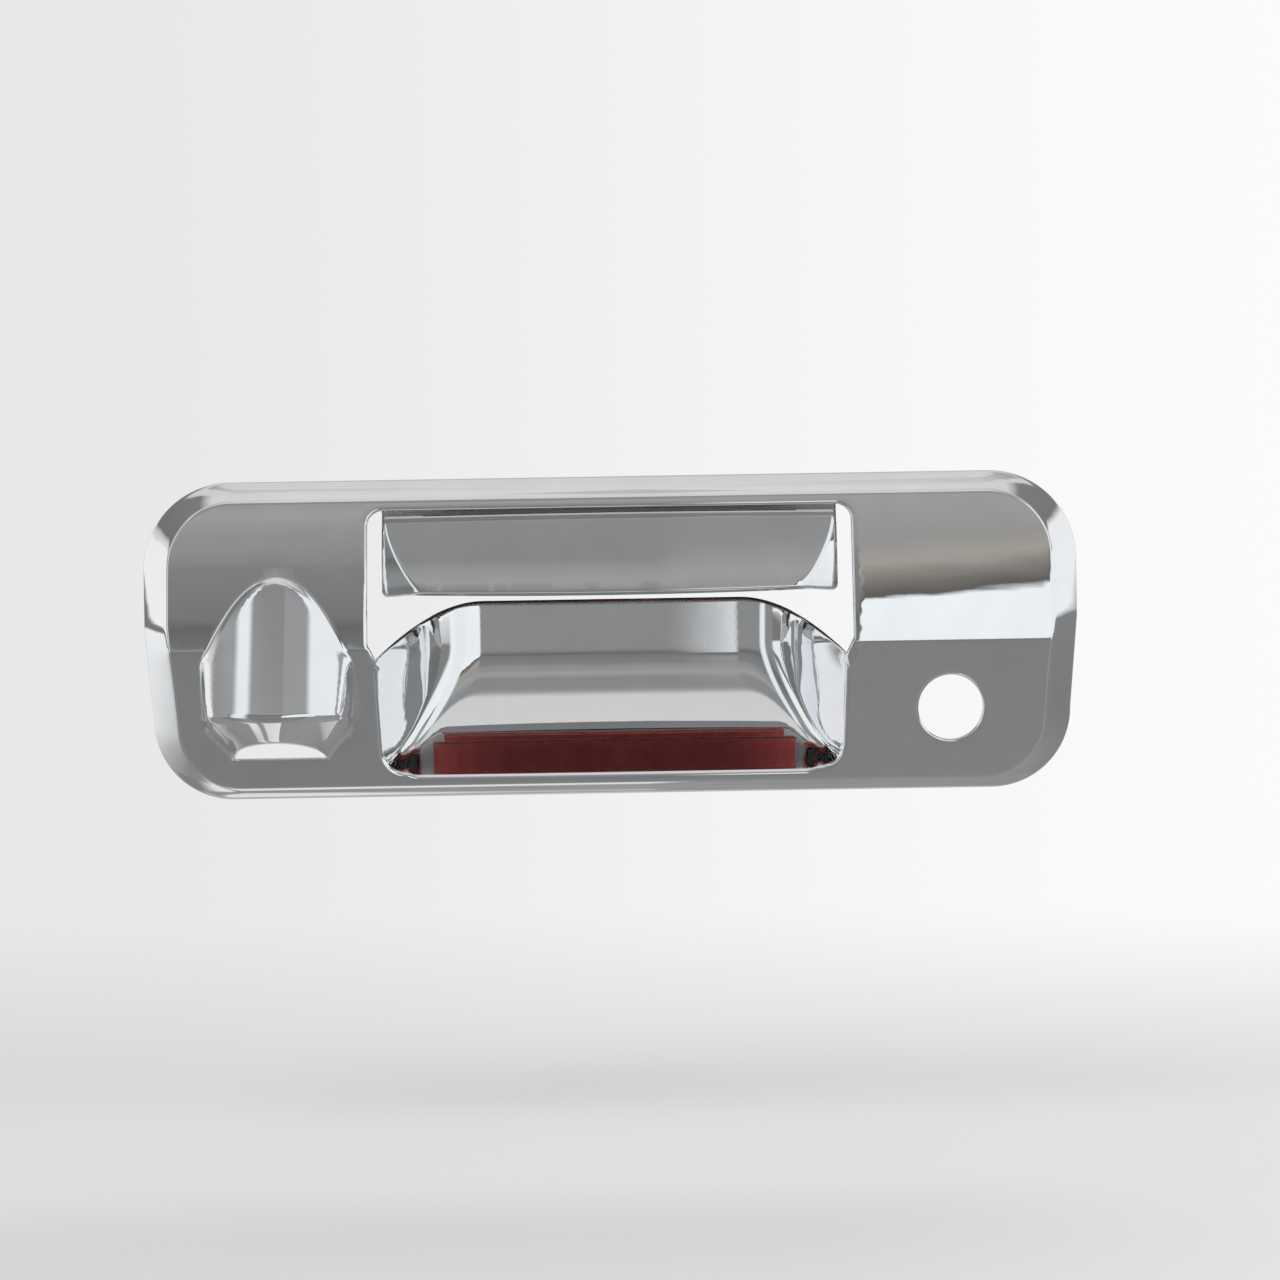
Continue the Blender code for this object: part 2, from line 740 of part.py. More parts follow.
def lever_core():
    """Black beam behind the cover with two hinge lugs and the actuator arm."""
    frame = lever_frame()
    made = box(
        "lever_core",
        (-CORE_HALF, core_front(), CORE_FOOT),
        (CORE_HALF, core_back(), CORE_TOP),
        BLACK,
        frame,
    )
    heel = heel_reach()
    for across in (-LUG_X, LUG_X):
        low = across - LUG_WIDTH / 2
        high = across + LUG_WIDTH / 2
        join(made, prism("lug", lug_outline(heel), 0, low, high, BLACK, frame))
        drill_lever(made, across, BUSH_R + GAP)
    tip = tip_place()
    low = CRANK_PUSH - 3.6
    high = CRANK_PUSH + 3.6
    outline = arc((0.0, 0.0), LUG_R, 170.0, 75.0, 5)
    outline += arc((tip.x, tip.y), TIP_R, 75.0, -105.0, 6)
    outline.append(actuator_knee(tip))
    outline += arc((0.0, 0.0), LUG_R, 275.0, 200.0, 4)
    outline += [(core_back() - 0.5, CORE_FOOT + 2.0), (core_back() - 0.5, CORE_TOP - 1.0)]
    join(made, prism("actuator", outline, 0, low, high, BLACK, frame))
    drill_lever(made, CRANK_PUSH, PIN_R + GAP)
    return made


def actuator_knee(tip):
    """Where the actuator's straight underside ends and its web to the lug begins."""
    along = tip.normalized()
    knee = tip - along * TIP_RUN + Vector((along.y, -along.x)) * TIP_R
    return (knee.x, knee.y)


def heel_reach():
    """How far back the heel reaches, so that its back lies at the bump stop."""
    return (HEEL_Y - PIVOT_Y) * math.cos(LEVER_LEAN) + 2.4


def drill_lever(target, across, radius):
    """Bore the hinge hole through one lug."""
    low = across - LUG_WIDTH
    high = across + LUG_WIDTH
    drill(target, (PIVOT_Y, PIVOT_Z), radius, 0, low, high)


def tip_place():
    """Centre of the actuator's tip in the lever's axes (back, up)."""
    height = CRANK_Z + PUSHER_R + TIP_R + GAP - PIVOT_Z
    back = TIP_Y - PIVOT_Y
    lean = LEVER_LEAN
    return Vector(
        (
            back * math.cos(lean) - height * math.sin(lean),
            back * math.sin(lean) + height * math.cos(lean),
        )
    )


def bush(name, side):
    """Flanged plastic bush in a lug."""
    inner = PIN_R + GAP
    low = -LUG_WIDTH / 2 - BUSH_FLANGE
    mid = -LUG_WIDTH / 2 - GAP
    high = LUG_WIDTH / 2
    places = [(low, BUSH_R + 1.4), (mid, BUSH_R + 1.4), (mid, BUSH_R), (high, BUSH_R)]
    profile = [(side * (LUG_X + place), radius) for place, radius in places]
    made = turned(name, profile, 0, (PIVOT_Y, PIVOT_Z), WHITE)
    drill(made, (PIVOT_Y, PIVOT_Z), inner, 0, -PIN_HALF - 5.0, PIN_HALF + 5.0)
    return made


def pivot_pin():
    """Steel hinge pin with a groove near each end."""
    groove = PIN_HALF - 3.0
    profile = [(-PIN_HALF, PIN_R - 0.5), (-PIN_HALF + 0.5, PIN_R), (-groove - 0.6, PIN_R)]
    profile += [(-groove - 0.6, PIN_R - 0.6), (-groove + 0.6, PIN_R - 0.6), (-groove + 0.6, PIN_R)]
    profile += [(-place, radius) for place, radius in reversed(profile)]
    return turned("pivot_pin", profile, 0, (PIVOT_Y, PIVOT_Z), STEEL)


def retaining_clip(name, axis, centre, place, inner, outer):
    """Open spring-steel clip in a pin's groove."""
    ring = arc(centre, outer, 305.0, 595.0, 20) + arc(centre, inner, 595.0, 305.0, 14)
    return prism(name, ring, axis, place - 0.35, place + 0.35, STEEL)


def torsion_spring():
    """Wire coil round the hinge pin, with a leg on the lever and a leg on the carrier."""
    frame = lever_frame()
    path = [Vector((SPRING_START_X, 16.5, SPRING_R)), Vector((SPRING_START_X, 8.0, SPRING_R))]
    steps = SPRING_TURNS * WIRE_STEPS + WIRE_STEPS // 4
    for step in range(steps + 1):
        angle = math.radians(90.0) + 2.0 * math.pi * step / WIRE_STEPS
        across = SPRING_START_X + SPRING_PITCH * step / WIRE_STEPS
        path.append(Vector((across, SPRING_R * math.cos(angle), SPRING_R * math.sin(angle))))
    last = path[-1]
    path += [Vector((last.x, last.y, -6.0)), Vector((last.x, last.y, -12.0))]
    points = []
    sides = WIRE_SIDES
    for index, spot in enumerate(path):
        before = path[max(0, index - 1)]
        after = path[min(len(path) - 1, index + 1)]
        along = (after - before).normalized()
        first = along.cross(Vector((1.0, 0.0, 0.0))).normalized()
        second = along.cross(first).normalized()
        for turn in range(sides):
            angle = 2.0 * math.pi * turn / sides
            reach = first * math.cos(angle) + second * math.sin(angle)
            points.append(frame @ (spot + reach * WIRE_R))
    faces = [list(range(sides)), list(range(len(points) - sides, len(points)))]
    for index in range(len(path) - 1):
        for turn in range(sides):
            here = index * sides + turn
            there = index * sides + (turn + 1) % sides
            faces.append([here, there, there + sides, here + sides])
    return solid("torsion_spring", points, faces, STEEL)


# ---------------------------------------------------------------- carrier and crank


def carrier_frame():
    """Black bracket: roof, back plate, hinge ears, rail and two arms screwed to the bezel."""
    back = BACK_FRONT + BACK_THICK
    made = box(
        "carrier_frame", (-BACK_HALF, 2.0, ROOF_Z), (BACK_HALF, back, CARRIER_TOP), BLACK
    )
    join(
        made,
        box("plate", (-BACK_HALF, BACK_FRONT, BACK_BOTTOM), (BACK_HALF, back, ROOF_Z + 1), BLACK),
    )
    reach = ARM_X + ARM_HALF
    rail_low = (-reach + 0.5, RAIL_FRONT, RAIL_BOTTOM)
    join(made, box("rail", rail_low, (reach - 0.5, RAIL_BACK, CARRIER_TOP - 0.3), BLACK))
    ear = arc((PIVOT_Y, PIVOT_Z), EAR_R, 110.0, 360.0, 14)
    ear += [(PIVOT_Y + EAR_R + 3.0, ROOF_Z + 1.0), (PIVOT_Y - EAR_NECK, ROOF_Z + 1.0)]
    for across in (-LUG_X, LUG_X):
        for side in (-1.0, 1.0):
            inner = across + side * (LUG_WIDTH / 2 + BUSH_FLANGE + GAP)
            outer = inner + side * EAR_THICK
            low, high = sorted((inner, outer))
            join(made, prism("ear", ear, 0, low, high, BLACK))
    drill(made, (PIVOT_Y, PIVOT_Z), PIN_R + GAP, 0, -PIN_HALF - 4.0, PIN_HALF + 4.0)
    for side in (-1.0, 1.0):
        low, high = sorted((side * (ARM_X - ARM_HALF), side * (ARM_X + ARM_HALF)))
        arm = [(low, ARM_BOTTOM + 3.0), (low + 3.0, ARM_BOTTOM), (high - 3.0, ARM_BOTTOM)]
        arm += [(high, ARM_BOTTOM + 3.0), (high, CARRIER_TOP), (low, CARRIER_TOP)]
        join(made, prism("arm", arm, 1, -ARM_HALF_THICK, ARM_HALF_THICK, BLACK))
        shelf_low = (low, ARM_HALF_THICK - 1.0, RAIL_BOTTOM + 0.3)
        join(made, box("shelf", shelf_low, (high, RAIL_BACK - 0.4, CARRIER_TOP - 0.6), BLACK))
        for up in BOSS_Z:
            drill(made, (side * ARM_X, up), SCREW_R + GAP, 1, -5.0, 5.0)
        seat = turned(
            "seat", [(HEEL_Y + 5.0, STOP_R + 2.2), (back - 0.5, STOP_R + 2.2)], 1,
            (side * LUG_X, STOP_Z), BLACK,
        )
        join(made, seat)
        drill(made, (side * LUG_X, STOP_Z), STOP_R - 1.2 + GAP, 1, HEEL_Y + 3.0, back + 1.0)
    window_low = (CRANK_PUSH - PUSHER_R - 5.0, BACK_FRONT - 1.0, CRANK_Z - CRANK_PUSH)
    window_high = (CRANK_PUSH + PUSHER_R + 1.0, back + 1.0, CRANK_Z + PUSHER_R + 1.5)
    cut(made, box("slot", window_low, window_high, BLACK))
    drill(made, (0.0, CRANK_Z), CRANK_PIN_R + GAP, 1, BACK_FRONT - 1.0, back + 1.0)
    return made


def bump_stop(name, side):
    """Rubber stop in its seat, with a stem through the back plate."""
    head = HEEL_Y + 5.0 - GAP
    profile = [(heel_back() + GAP, STOP_R - 0.8), (heel_back() + GAP + 1.0, STOP_R)]
    profile += [(head, STOP_R), (head, STOP_R - 1.2), (BACK_FRONT + BACK_THICK, STOP_R - 1.2)]
    return turned(name, profile, 1, (side * LUG_X, STOP_Z), RUBBER)


def heel_back():
    """World depth of the heel's rearmost corner at rest."""
    frame = lever_frame()
    low = frame @ Vector((0.0, heel_reach(), CORE_FOOT + 1.0))
    high = frame @ Vector((0.0, heel_reach(), -6.0))
    return max(low.y, high.y)


def arm_outline(arms, half, hub):
    """Flat link: a round hub with straight arms that end round."""
    points = []
    for angle, length in arms:
        turn = math.radians(angle)
        end = (length * math.cos(turn), length * math.sin(turn))
        root = math.sqrt(hub * hub - half * half)
        side = Vector((-math.sin(turn), math.cos(turn))) * half
        along = Vector((math.cos(turn), math.sin(turn)))
        start = along * root + side
        points.append((start.x, start.y))
        points += arc(end, half, angle + 90.0, angle - 90.0, 8)
        finish = along * root - side
        points.append((finish.x, finish.y))
    points += arc((0.0, 0.0), hub, 235.0, 125.0, 5)
    return points


def bell_crank():
    """Steel crank: up and down arms pull the rods, the right arm is pushed."""
    arms = [(90.0, CRANK_ARM), (0.0, CRANK_PUSH), (-90.0, CRANK_ARM)]
    outline = [(x, z + CRANK_Z) for x, z in arm_outline(arms, CRANK_HALF, CRANK_HUB)]
    back = CRANK_FRONT + CRANK_THICK
    made = prism("bell_crank", outline, 1, CRANK_FRONT, back, STEEL)
    holes = [(0.0, CRANK_Z, CRANK_PIN_R), (CRANK_PUSH, CRANK_Z, PUSHER_NECK)]
    holes += [(0.0, CRANK_Z + CRANK_ARM, CLIP_STEM), (0.0, CRANK_Z - CRANK_ARM, CLIP_STEM)]
    for x, z, radius in holes:
        drill(made, (x, z), radius + GAP, 1, CRANK_FRONT - 1.0, back + 1.0)
    return made


def pusher_pin():
    """Headed pin riveted in the crank, which the lever's tip pushes down."""
    back = CRANK_FRONT + CRANK_THICK
    profile = [(PUSHER_FRONT, PUSHER_R - 0.6), (PUSHER_FRONT + 0.6, PUSHER_R)]
    profile += [(CRANK_FRONT - GAP, PUSHER_R), (CRANK_FRONT - GAP, PUSHER_NECK)]
    profile += [(back + GAP, PUSHER_NECK), (back + GAP, PUSHER_R), (back + 1.2, PUSHER_R - 0.6)]
    return turned("pusher_pin", profile, 1, (CRANK_PUSH, CRANK_Z), STEEL)


def crank_pin():
    """Shouldered pin that carries the crank on the carrier's back plate."""
    plate_back = BACK_FRONT + BACK_THICK
    back = CRANK_FRONT + CRANK_THICK
    head = CRANK_PIN_R + 2.2
    profile = [(BACK_FRONT - GAP - 1.6, head - 0.6), (BACK_FRONT - GAP - 1.0, head)]
    profile += [(BACK_FRONT - GAP, head), (BACK_FRONT - GAP, CRANK_PIN_R)]
    profile += [(back + 0.6, CRANK_PIN_R), (back + 0.6, CRANK_PIN_R - 0.6)]
    profile += [(back + 1.8, CRANK_PIN_R - 0.6), (back + 1.8, CRANK_PIN_R), (back + 3.0, CRANK_PIN_R)]
    made = turned("crank_pin", profile, 1, (0.0, CRANK_Z), STEEL)
    washer = turned(
        "washer",
        [(plate_back + GAP, CRANK_PIN_R + 2.0), (CRANK_FRONT - GAP, CRANK_PIN_R + 2.0)],
        1,
        (0.0, CRANK_Z),
        STEEL,
    )
    join(made, washer)
    return made


def rod_clip(name, up):
    """Plastic clip that snaps on a latch rod and turns in the crank's arm."""
    back = CRANK_FRONT + CRANK_THICK
    front = back + GAP
    made = box(
        name,
        (-CLIP_HALF_X, front, up - CLIP_HALF_Z),
        (CLIP_HALF_X, front + CLIP_DEPTH, up + CLIP_HALF_Z),
        WHITE,
    )
    rod_y = front + CLIP_DEPTH - ROD_SLOT - 1.2
    drill(made, (rod_y, up), ROD_SLOT, 0, -CLIP_HALF_X - 1.0, CLIP_HALF_X + 1.0, 20)
    mouth_low = (-CLIP_HALF_X - 1.0, rod_y, up - ROD_SLOT * 0.85)
    mouth_high = (CLIP_HALF_X + 1.0, front + CLIP_DEPTH + 1.0, up + ROD_SLOT * 0.85)
    cut(made, box("mouth", mouth_low, mouth_high, WHITE))
    barb = CRANK_FRONT - GAP
    profile = [(barb - 1.3, CLIP_STEM - 0.4), (barb, CLIP_STEM + 1.0), (barb, CLIP_STEM)]
    profile += [(front + 0.5, CLIP_STEM)]
    join(made, turned("stem", profile, 1, (0.0, up), WHITE, 20))
    return made


# ---------------------------------------------------------------- fasteners


def carrier_screw(name, across, up):
    """Pan-head screw through a carrier arm into its boss."""
    head = ARM_HALF_THICK + GAP
    profile = [(-SCREW_DEPTH, SCREW_R - 0.8), (-SCREW_DEPTH + 1.0, SCREW_R), (head, SCREW_R)]
    profile += [(head, SCREW_HEAD_R), (head + SCREW_HEAD * 0.5, SCREW_HEAD_R)]
    profile += [(head + SCREW_HEAD, SCREW_HEAD_R * 0.6)]
    made = turned(name, profile, 1, (across, up), STEEL, 16)
    slot = circle((across, up), 1.5, 6)
    cut(made, prism("drive", slot, 1, head + SCREW_HEAD - 1.6, head + SCREW_HEAD + 1.0, STEEL))
    return made


def stud(name, across, up):
    """Threaded stud set in a bezel post."""
    profile = [(-STUD_SINK, STUD_R - 0.6), (-STUD_SINK + 0.6, STUD_R), (STUD_BACK - 1.0, STUD_R)]
    profile += [(STUD_BACK, STUD_R - 0.9)]
    return turned(name, profile, 1, (across, up), STEEL, 16)


def stud_nut(name, across, up):
    """Flange nut that clamps the tailgate skin from inside."""
    flange_back = GRIP + NUT_FLANGE
    flange = [(GRIP, NUT_FLANGE_R), (flange_back, NUT_FLANGE_R - 0.6)]
    made = turned(name, flange, 1, (across, up), STEEL, 18)
    hexagon = circle((across, up), NUT_R, 6)
    join(made, prism("hex", hexagon, 1, flange_back - 0.6, flange_back + NUT_HEIGHT, STEEL))
    drill(made, (across, up), STUD_R + GAP, 1, 0.0, 20.0, 16)
    return made


def build():
    """Make every piece."""
    clear_scene()
    bezel()
    gasket()
    lever_cover()
    lever_core()
    tape("tape_lower", LEVER_FOOT + 0.8, LEVER_FOOT + 5.2, TAPE_HALF)
    tape("tape_middle", LEVER_FOOT + 7.6, LEVER_FOOT + 13.2, TAPE_HALF + 5.0)
    tape("tape_upper", CORE_FOOT + 3.0, CORE_FOOT + 11.0, CORE_HALF - 4.0)
    for side, label in ((-1.0, "left"), (1.0, "right")):
        bush("bush_" + label, side)
        bump_stop("bump_stop_" + label, side)
        place = side * (PIN_HALF - 3.0)
        inner = PIN_R - 0.6 + GAP
        centre = (PIVOT_Y, PIVOT_Z)
        retaining_clip("pin_clip_" + label, 0, centre, place, inner, PIN_R + 2.4)
    pivot_pin()
    torsion_spring()
    carrier_frame()
    bell_crank()
    pusher_pin()
    crank_pin()
    groove = CRANK_FRONT + CRANK_THICK + 1.2
    inner = CRANK_PIN_R - 0.6 + GAP
    retaining_clip("crank_clip", 1, (0.0, CRANK_Z), groove, inner, CRANK_PIN_R + 2.4)
    rod_clip("rod_clip_upper", CRANK_Z + CRANK_ARM)
    rod_clip("rod_clip_lower", CRANK_Z - CRANK_ARM)
    number = 0
    for across in (-POST_X, POST_X):
        for up in (POST_Z, -POST_Z):
            number += 1
            stud("stud_" + str(number), across, up)
            stud_nut("stud_nut_" + str(number), across, up)
    number = 0
    for across in (-ARM_X, ARM_X):
        for up in BOSS_Z:
            number += 1
            carrier_screw("carrier_screw_" + str(number), across, up)


build()
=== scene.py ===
"""Studio view of a chrome tailgate handle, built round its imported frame."""
import json
import math

import bmesh
import bpy
import numpy as np
from mathutils import Matrix, Vector, geometry, kdtree


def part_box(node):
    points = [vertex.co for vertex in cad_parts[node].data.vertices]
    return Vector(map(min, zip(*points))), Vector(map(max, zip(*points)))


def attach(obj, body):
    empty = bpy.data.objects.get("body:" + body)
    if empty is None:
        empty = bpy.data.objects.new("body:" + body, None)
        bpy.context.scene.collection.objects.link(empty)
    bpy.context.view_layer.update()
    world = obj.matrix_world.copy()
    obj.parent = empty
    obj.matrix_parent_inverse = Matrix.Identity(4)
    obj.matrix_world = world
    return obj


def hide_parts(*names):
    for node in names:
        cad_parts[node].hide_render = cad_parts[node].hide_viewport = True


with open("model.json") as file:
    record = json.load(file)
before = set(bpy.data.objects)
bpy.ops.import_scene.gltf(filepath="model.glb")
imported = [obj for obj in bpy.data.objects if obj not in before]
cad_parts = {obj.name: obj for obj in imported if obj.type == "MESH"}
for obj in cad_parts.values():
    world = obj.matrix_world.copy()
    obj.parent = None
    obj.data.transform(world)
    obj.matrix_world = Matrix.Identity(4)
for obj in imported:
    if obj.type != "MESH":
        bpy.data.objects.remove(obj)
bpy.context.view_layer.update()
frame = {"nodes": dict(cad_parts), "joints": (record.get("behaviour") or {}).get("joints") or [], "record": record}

MM = 0.001

# Bezel, in mm like part sizes on a drawing
BEZEL_LOW, BEZEL_HIGH = [np.array(corner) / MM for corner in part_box("bezel")]
HALF_WIDTH = BEZEL_HIGH[0]
TOP_Z = BEZEL_HIGH[2]
BOTTOM_Z = BEZEL_LOW[2]
RIM_BACK = -1.5
RIM_LIP = 2.0
TOP_CORNER_R = 34.0
BOTTOM_CORNER_R = 31.0
SIDE_TAPER = 3.2
TAPER_START_Z = 5.0
BORDER_SIDE = 10.8
BORDER_TOP = 8.0
BORDER_BOTTOM = 4.0
WALL = 2.6
RIDGE_Z = -4.0
RIDGE_DEPTH = 20.5
TOP_EDGE_DEPTH = 10.5
BOTTOM_EDGE_DEPTH = 7.0
FACE_CROWN = 1.0
FACE_STRAIGHT = 0.45
RIM_FLAT = 2.6
LEAST_FACING = 0.45
WINDOW_HALF = 93.6
WINDOW_TOP = 49.6
WINDOW_CORNER = 6.0
WINDOW_FOOT_R = 3.0
WINDOW_FOOT_Z = -1.5
SCOOP_HALF = 90.8
SCOOP_TAPER = 1.0
TAPER_RUN = 35.0
TAPER_STEPS = 6
TAPER_STEP = 5.76
SCOOP_BOTTOM = -53.6
SCOOP_CORNER = 11.0
ARCH_TOP = 14.6
ARCH_END = -8.0
SCOOP_BACK = 22.0
SCOOP_SIDE_RUN = 40.0
FOLD_Z = -6.2
FLOOR_SLOPE = 0.255
FLOOR_CURVE = 0.0065
FLOOR_BEND = 27.0
BEND_SPAN = 10.0
BEND_SLOPE = 0.16
LOCK = (131.0, -29.8)
LOCK_R = 12.5
HOOD_X = -128.8
HOOD_APEX_Z = 23.5
HOOD_HALF = 28.8
HOOD_TUCK = 3.2
HOOD_TUCK_ROUND = 0.75
HOOD_SHOULDER_Z = -8.0
HOOD_COLLAR_Z = -29.5
HOOD_BOTTOM_Z = -45.5
HOOD_APEX_DEPTH = 18.0
HOOD_FRONT_DEPTH = 35.0
HOOD_ARCH = 0.0095
HOOD_SIDE = 3.0
MOUTH_HALF = 17.75
MOUTH_RISE = 6.2
MOUTH_REACH = 20.0
COLLAR_RISE = 1.1
POSTS = [(side * 157.0, up * 38.0) for side in (-1, 1) for up in (1, -1)]
POST_R = 6.6
STUD_HOLE_R = 3.3
BOSSES = [(side * 105.0, up) for side in (-1, 1) for up in (13.5, 43.0)]
BOSS_R = 5.2
BOSS_BACK = -2.3
SCREW_HOLE_R = 2.3
POST_CHAMFER = 0.5
HOLE_CHAMFER = 0.4

# Softened edges
FILLET = 0.8
SCOOP_BLEND = 5.0
ROLL = 1.3
ROLL_STEPS = 5
CREASE_ROWS = (-1.4, -0.7, 0.0, 0.7, 1.4)
FACE_STEP = 3.0
SCOOP_STEP = 2.0
HOOD_STEP = 1.4
CLEAR_SHARE = 0.6

# Lever, in its own axes round the hinge
HINGE = [joint for joint in frame["joints"] if joint["name"] == "lever_hinge"][0]
LEVER_PLACE = [value / MM for value in HINGE["pos_m"]]
LEVER_LEAN = math.radians(15.0)
LEVER_HALF = 88.4
LEVER_FACE = 13.2
LEVER_TOP = 7.0
LEVER_FOOT = -27.8
LEVER_WALL = 2.2
LEVER_BULGE = 2.0
LEVER_RISE = 0.9
LEVER_CURVE = 3.2
LEVER_CROWN = 0.8
LEVER_SAG = 1.5
LEVER_CORNER = 2.4
LEVER_ROLL = 0.8
FACET_DROP = 0.42
FACET_WALL = 1.8
CREASE_FOOT = 73.0
CREASE_SPREAD = 14.5
CREASE_POWER = 0.8
LEVER_TOP_R = 1.2


# ---------------------------------------------------------------- lines in the front plane


def arc(centre, radius, start, stop, steps):
    """Points on an arc, angles in degrees."""
    points = []
    for step in range(steps + 1):
        angle = math.radians(start + (stop - start) * step / steps)
        points.append((centre[0] + radius * math.cos(angle), centre[1] + radius * math.sin(angle)))
    return points


def walk(points, step, closed=True):
    """A line's corners with even points between them."""
    chain = [np.array(point, float) for point in points]
    if closed:
        chain.append(chain[0])
    made = []
    for here, there in zip(chain[:-1], chain[1:]):
        count = max(1, int(round(float(np.hypot(*(there - here))) / step)))
        made += [here + (there - here) * i / count for i in range(count)]
    if not closed:
        made.append(chain[-1])
    return np.array(made)


def mirrored(half):
    """Close a right half that starts and ends on the centre line."""
    return list(half) + [(-x, z) for x, z in reversed(list(half)[1:-1])]


def moved_sideways(line, distance, closed=True):
    """The line shifted to the left of its own direction."""
    before = np.roll(line, 1, axis=0)
    after = np.roll(line, -1, axis=0)
    if not closed:
        before[0] = 2 * line[0] - line[1]
        after[-1] = 2 * line[-1] - line[-2]
    first = line - before
    second = after - line
    first /= np.maximum(np.hypot(first[:, 0], first[:, 1]), 1e-9)[:, None]
    second /= np.maximum(np.hypot(second[:, 0], second[:, 1]), 1e-9)[:, None]
    left = np.stack([-first[:, 1] - second[:, 1], first[:, 0] + second[:, 0]], axis=1)
    size = np.maximum(np.hypot(left[:, 0], left[:, 1]), 1e-9)
    left /= size[:, None]
    stretch = np.minimum(2.0 / size, 1.6)
    return line + left * (distance * stretch)[:, None]


def turns_left(loop):
    """Whether a closed loop runs anticlockwise."""
    after = np.roll(loop, -1, axis=0)
    return float(np.sum(loop[:, 0] * after[:, 1] - after[:, 0] * loop[:, 1])) > 0.0


def within(x, z, loop):
    """Which places lie within a closed loop."""
    found = np.zeros(x.shape, bool)
    after = np.roll(loop, -1, axis=0)
    for (ax, az), (bx, bz) in zip(loop, after):
        if az == bz:
            continue
        crossing = (az > z) != (bz > z)
        found ^= crossing & (x < (bx - ax) * (z - az) / (bz - az) + ax)
    return found


def nearest(places, loops):
    """Distance to closed loops and the nearest point on them, for each place."""
    starts = np.vstack(loops)
    ends = np.vstack([np.roll(loop, -1, axis=0) for loop in loops])
    along = ends - starts
    length = np.maximum(np.sum(along * along, axis=1), 1e-12)
    far = np.empty(len(places))
    spots = np.empty((len(places), 2))
    for first in range(0, len(places), 4000):
        part = places[first:first + 4000]
        offset = part[:, None, :] - starts[None]
        share = np.clip(np.sum(offset * along[None], axis=2) / length[None], 0.0, 1.0)
        foot = starts[None] + along[None] * share[..., None]
        gap = np.sum((part[:, None, :] - foot) ** 2, axis=2)
        best = np.argmin(gap, axis=1)
        rows = np.arange(len(part))
        far[first:first + 4000] = np.sqrt(gap[rows, best])
        spots[first:first + 4000] = foot[rows, best]
    return far, spots


# ---------------------------------------------------------------- bezel outlines


def side_x(z):
    """Half width of the outline's straight side, which leans in below the crease."""
    fall = max(0.0, TAPER_START_Z - z) / (TAPER_START_Z - (BOTTOM_Z + BOTTOM_CORNER_R))
    return HALF_WIDTH - SIDE_TAPER * min(1.0, fall)


def outline(side, top, bottom):
    """The bezel's outline pulled in by a border."""
    top_r = TOP_CORNER_R - (side + top) / 2
    low_r = BOTTOM_CORNER_R - (side + bottom) / 2
    corner_z = TOP_Z - top - top_r
    foot_z = BOTTOM_Z + bottom + low_r
    high_x = HALF_WIDTH - side
    low_x = HALF_WIDTH - SIDE_TAPER - side
    half = [(0.0, TOP_Z - top)] + arc((high_x - top_r, corner_z), top_r, 90.0, 0.0, 30)
    half += [(side_x(z) - side, z) for z in (14.0, TAPER_START_Z, RIDGE_Z, -18.0)]
    half += arc((low_x - low_r, foot_z), low_r, 0.0, -90.0, 30)
    half.append((0.0, BOTTOM_Z + bottom))
    return mirrored(half)


def arch_z(x):
    """Height of the scoop's free upper edge."""
    rest = min(1.0, max(0.0, 1.0 - (SCOOP_HALF - abs(x)) / SCOOP_SIDE_RUN))
    return ARCH_TOP - (ARCH_TOP - ARCH_END) * rest * rest


def window_outline():
    """The open window above the scoop's free edge."""
    high = WINDOW_TOP - WINDOW_CORNER
    half = [(0.0, WINDOW_TOP)]
    half += arc((WINDOW_HALF - WINDOW_CORNER, high), WINDOW_CORNER, 90.0, 0.0, 12)
    half += arc((WINDOW_HALF - WINDOW_FOOT_R, WINDOW_FOOT_Z), WINDOW_FOOT_R, 0.0, -45.0, 5)
    half.append((SCOOP_HALF, ARCH_END))
    for step in range(1, 25):
        x = SCOOP_HALF - SCOOP_SIDE_RUN * step / 24
        half.append((x, arch_z(x)))
    half.append((0.0, ARCH_TOP))
    return mirrored(half)


def scoop_line():
    """The scoop's front edge from its right end round the bottom to its left end."""
    right = []
    for step in range(TAPER_STEPS):
        right.append((SCOOP_HALF - SCOOP_TAPER * step / TAPER_STEPS, ARCH_END - TAPER_STEP * step))
    centre = (SCOOP_HALF - SCOOP_TAPER - SCOOP_CORNER, SCOOP_BOTTOM + SCOOP_CORNER)
    right += arc(centre, SCOOP_CORNER, 0.0, -90.0, 12)
    right.append((0.0, SCOOP_BOTTOM))
    return right + [(-x, z) for x, z in reversed(right[:-1])]


def hood_half(z):
    """Half width of the hood's foot on the face at each height."""
    rise = np.clip((HOOD_APEX_Z - z) / (HOOD_APEX_Z - HOOD_SHOULDER_Z), 0.0, 1.0)
    above = HOOD_HALF * np.sqrt(rise)
    fall = np.clip((HOOD_SHOULDER_Z - z) / (HOOD_SHOULDER_Z - HOOD_BOTTOM_Z), 0.0, 1.0)
    below = MOUTH_HALF + (HOOD_HALF - MOUTH_HALF) * (1.0 - fall ** HOOD_TUCK) ** HOOD_TUCK_ROUND
    return np.where(z > HOOD_SHOULDER_Z, above, below)


def hood_line():
    """The hood's foot on the face, from its right mouth corner over to its left."""
    turns = [math.sin(math.radians(90.0 * step / 40)) for step in range(41)]
    levels = [HOOD_BOTTOM_Z + (HOOD_APEX_Z - HOOD_BOTTOM_Z) * turn for turn in turns]
    right = [(HOOD_X + float(hood_half(np.array(z))), z) for z in levels[:-1]]
    left = [(2 * HOOD_X - x, z) for x, z in reversed(right)]
    return right + [(HOOD_X, HOOD_APEX_Z)] + left


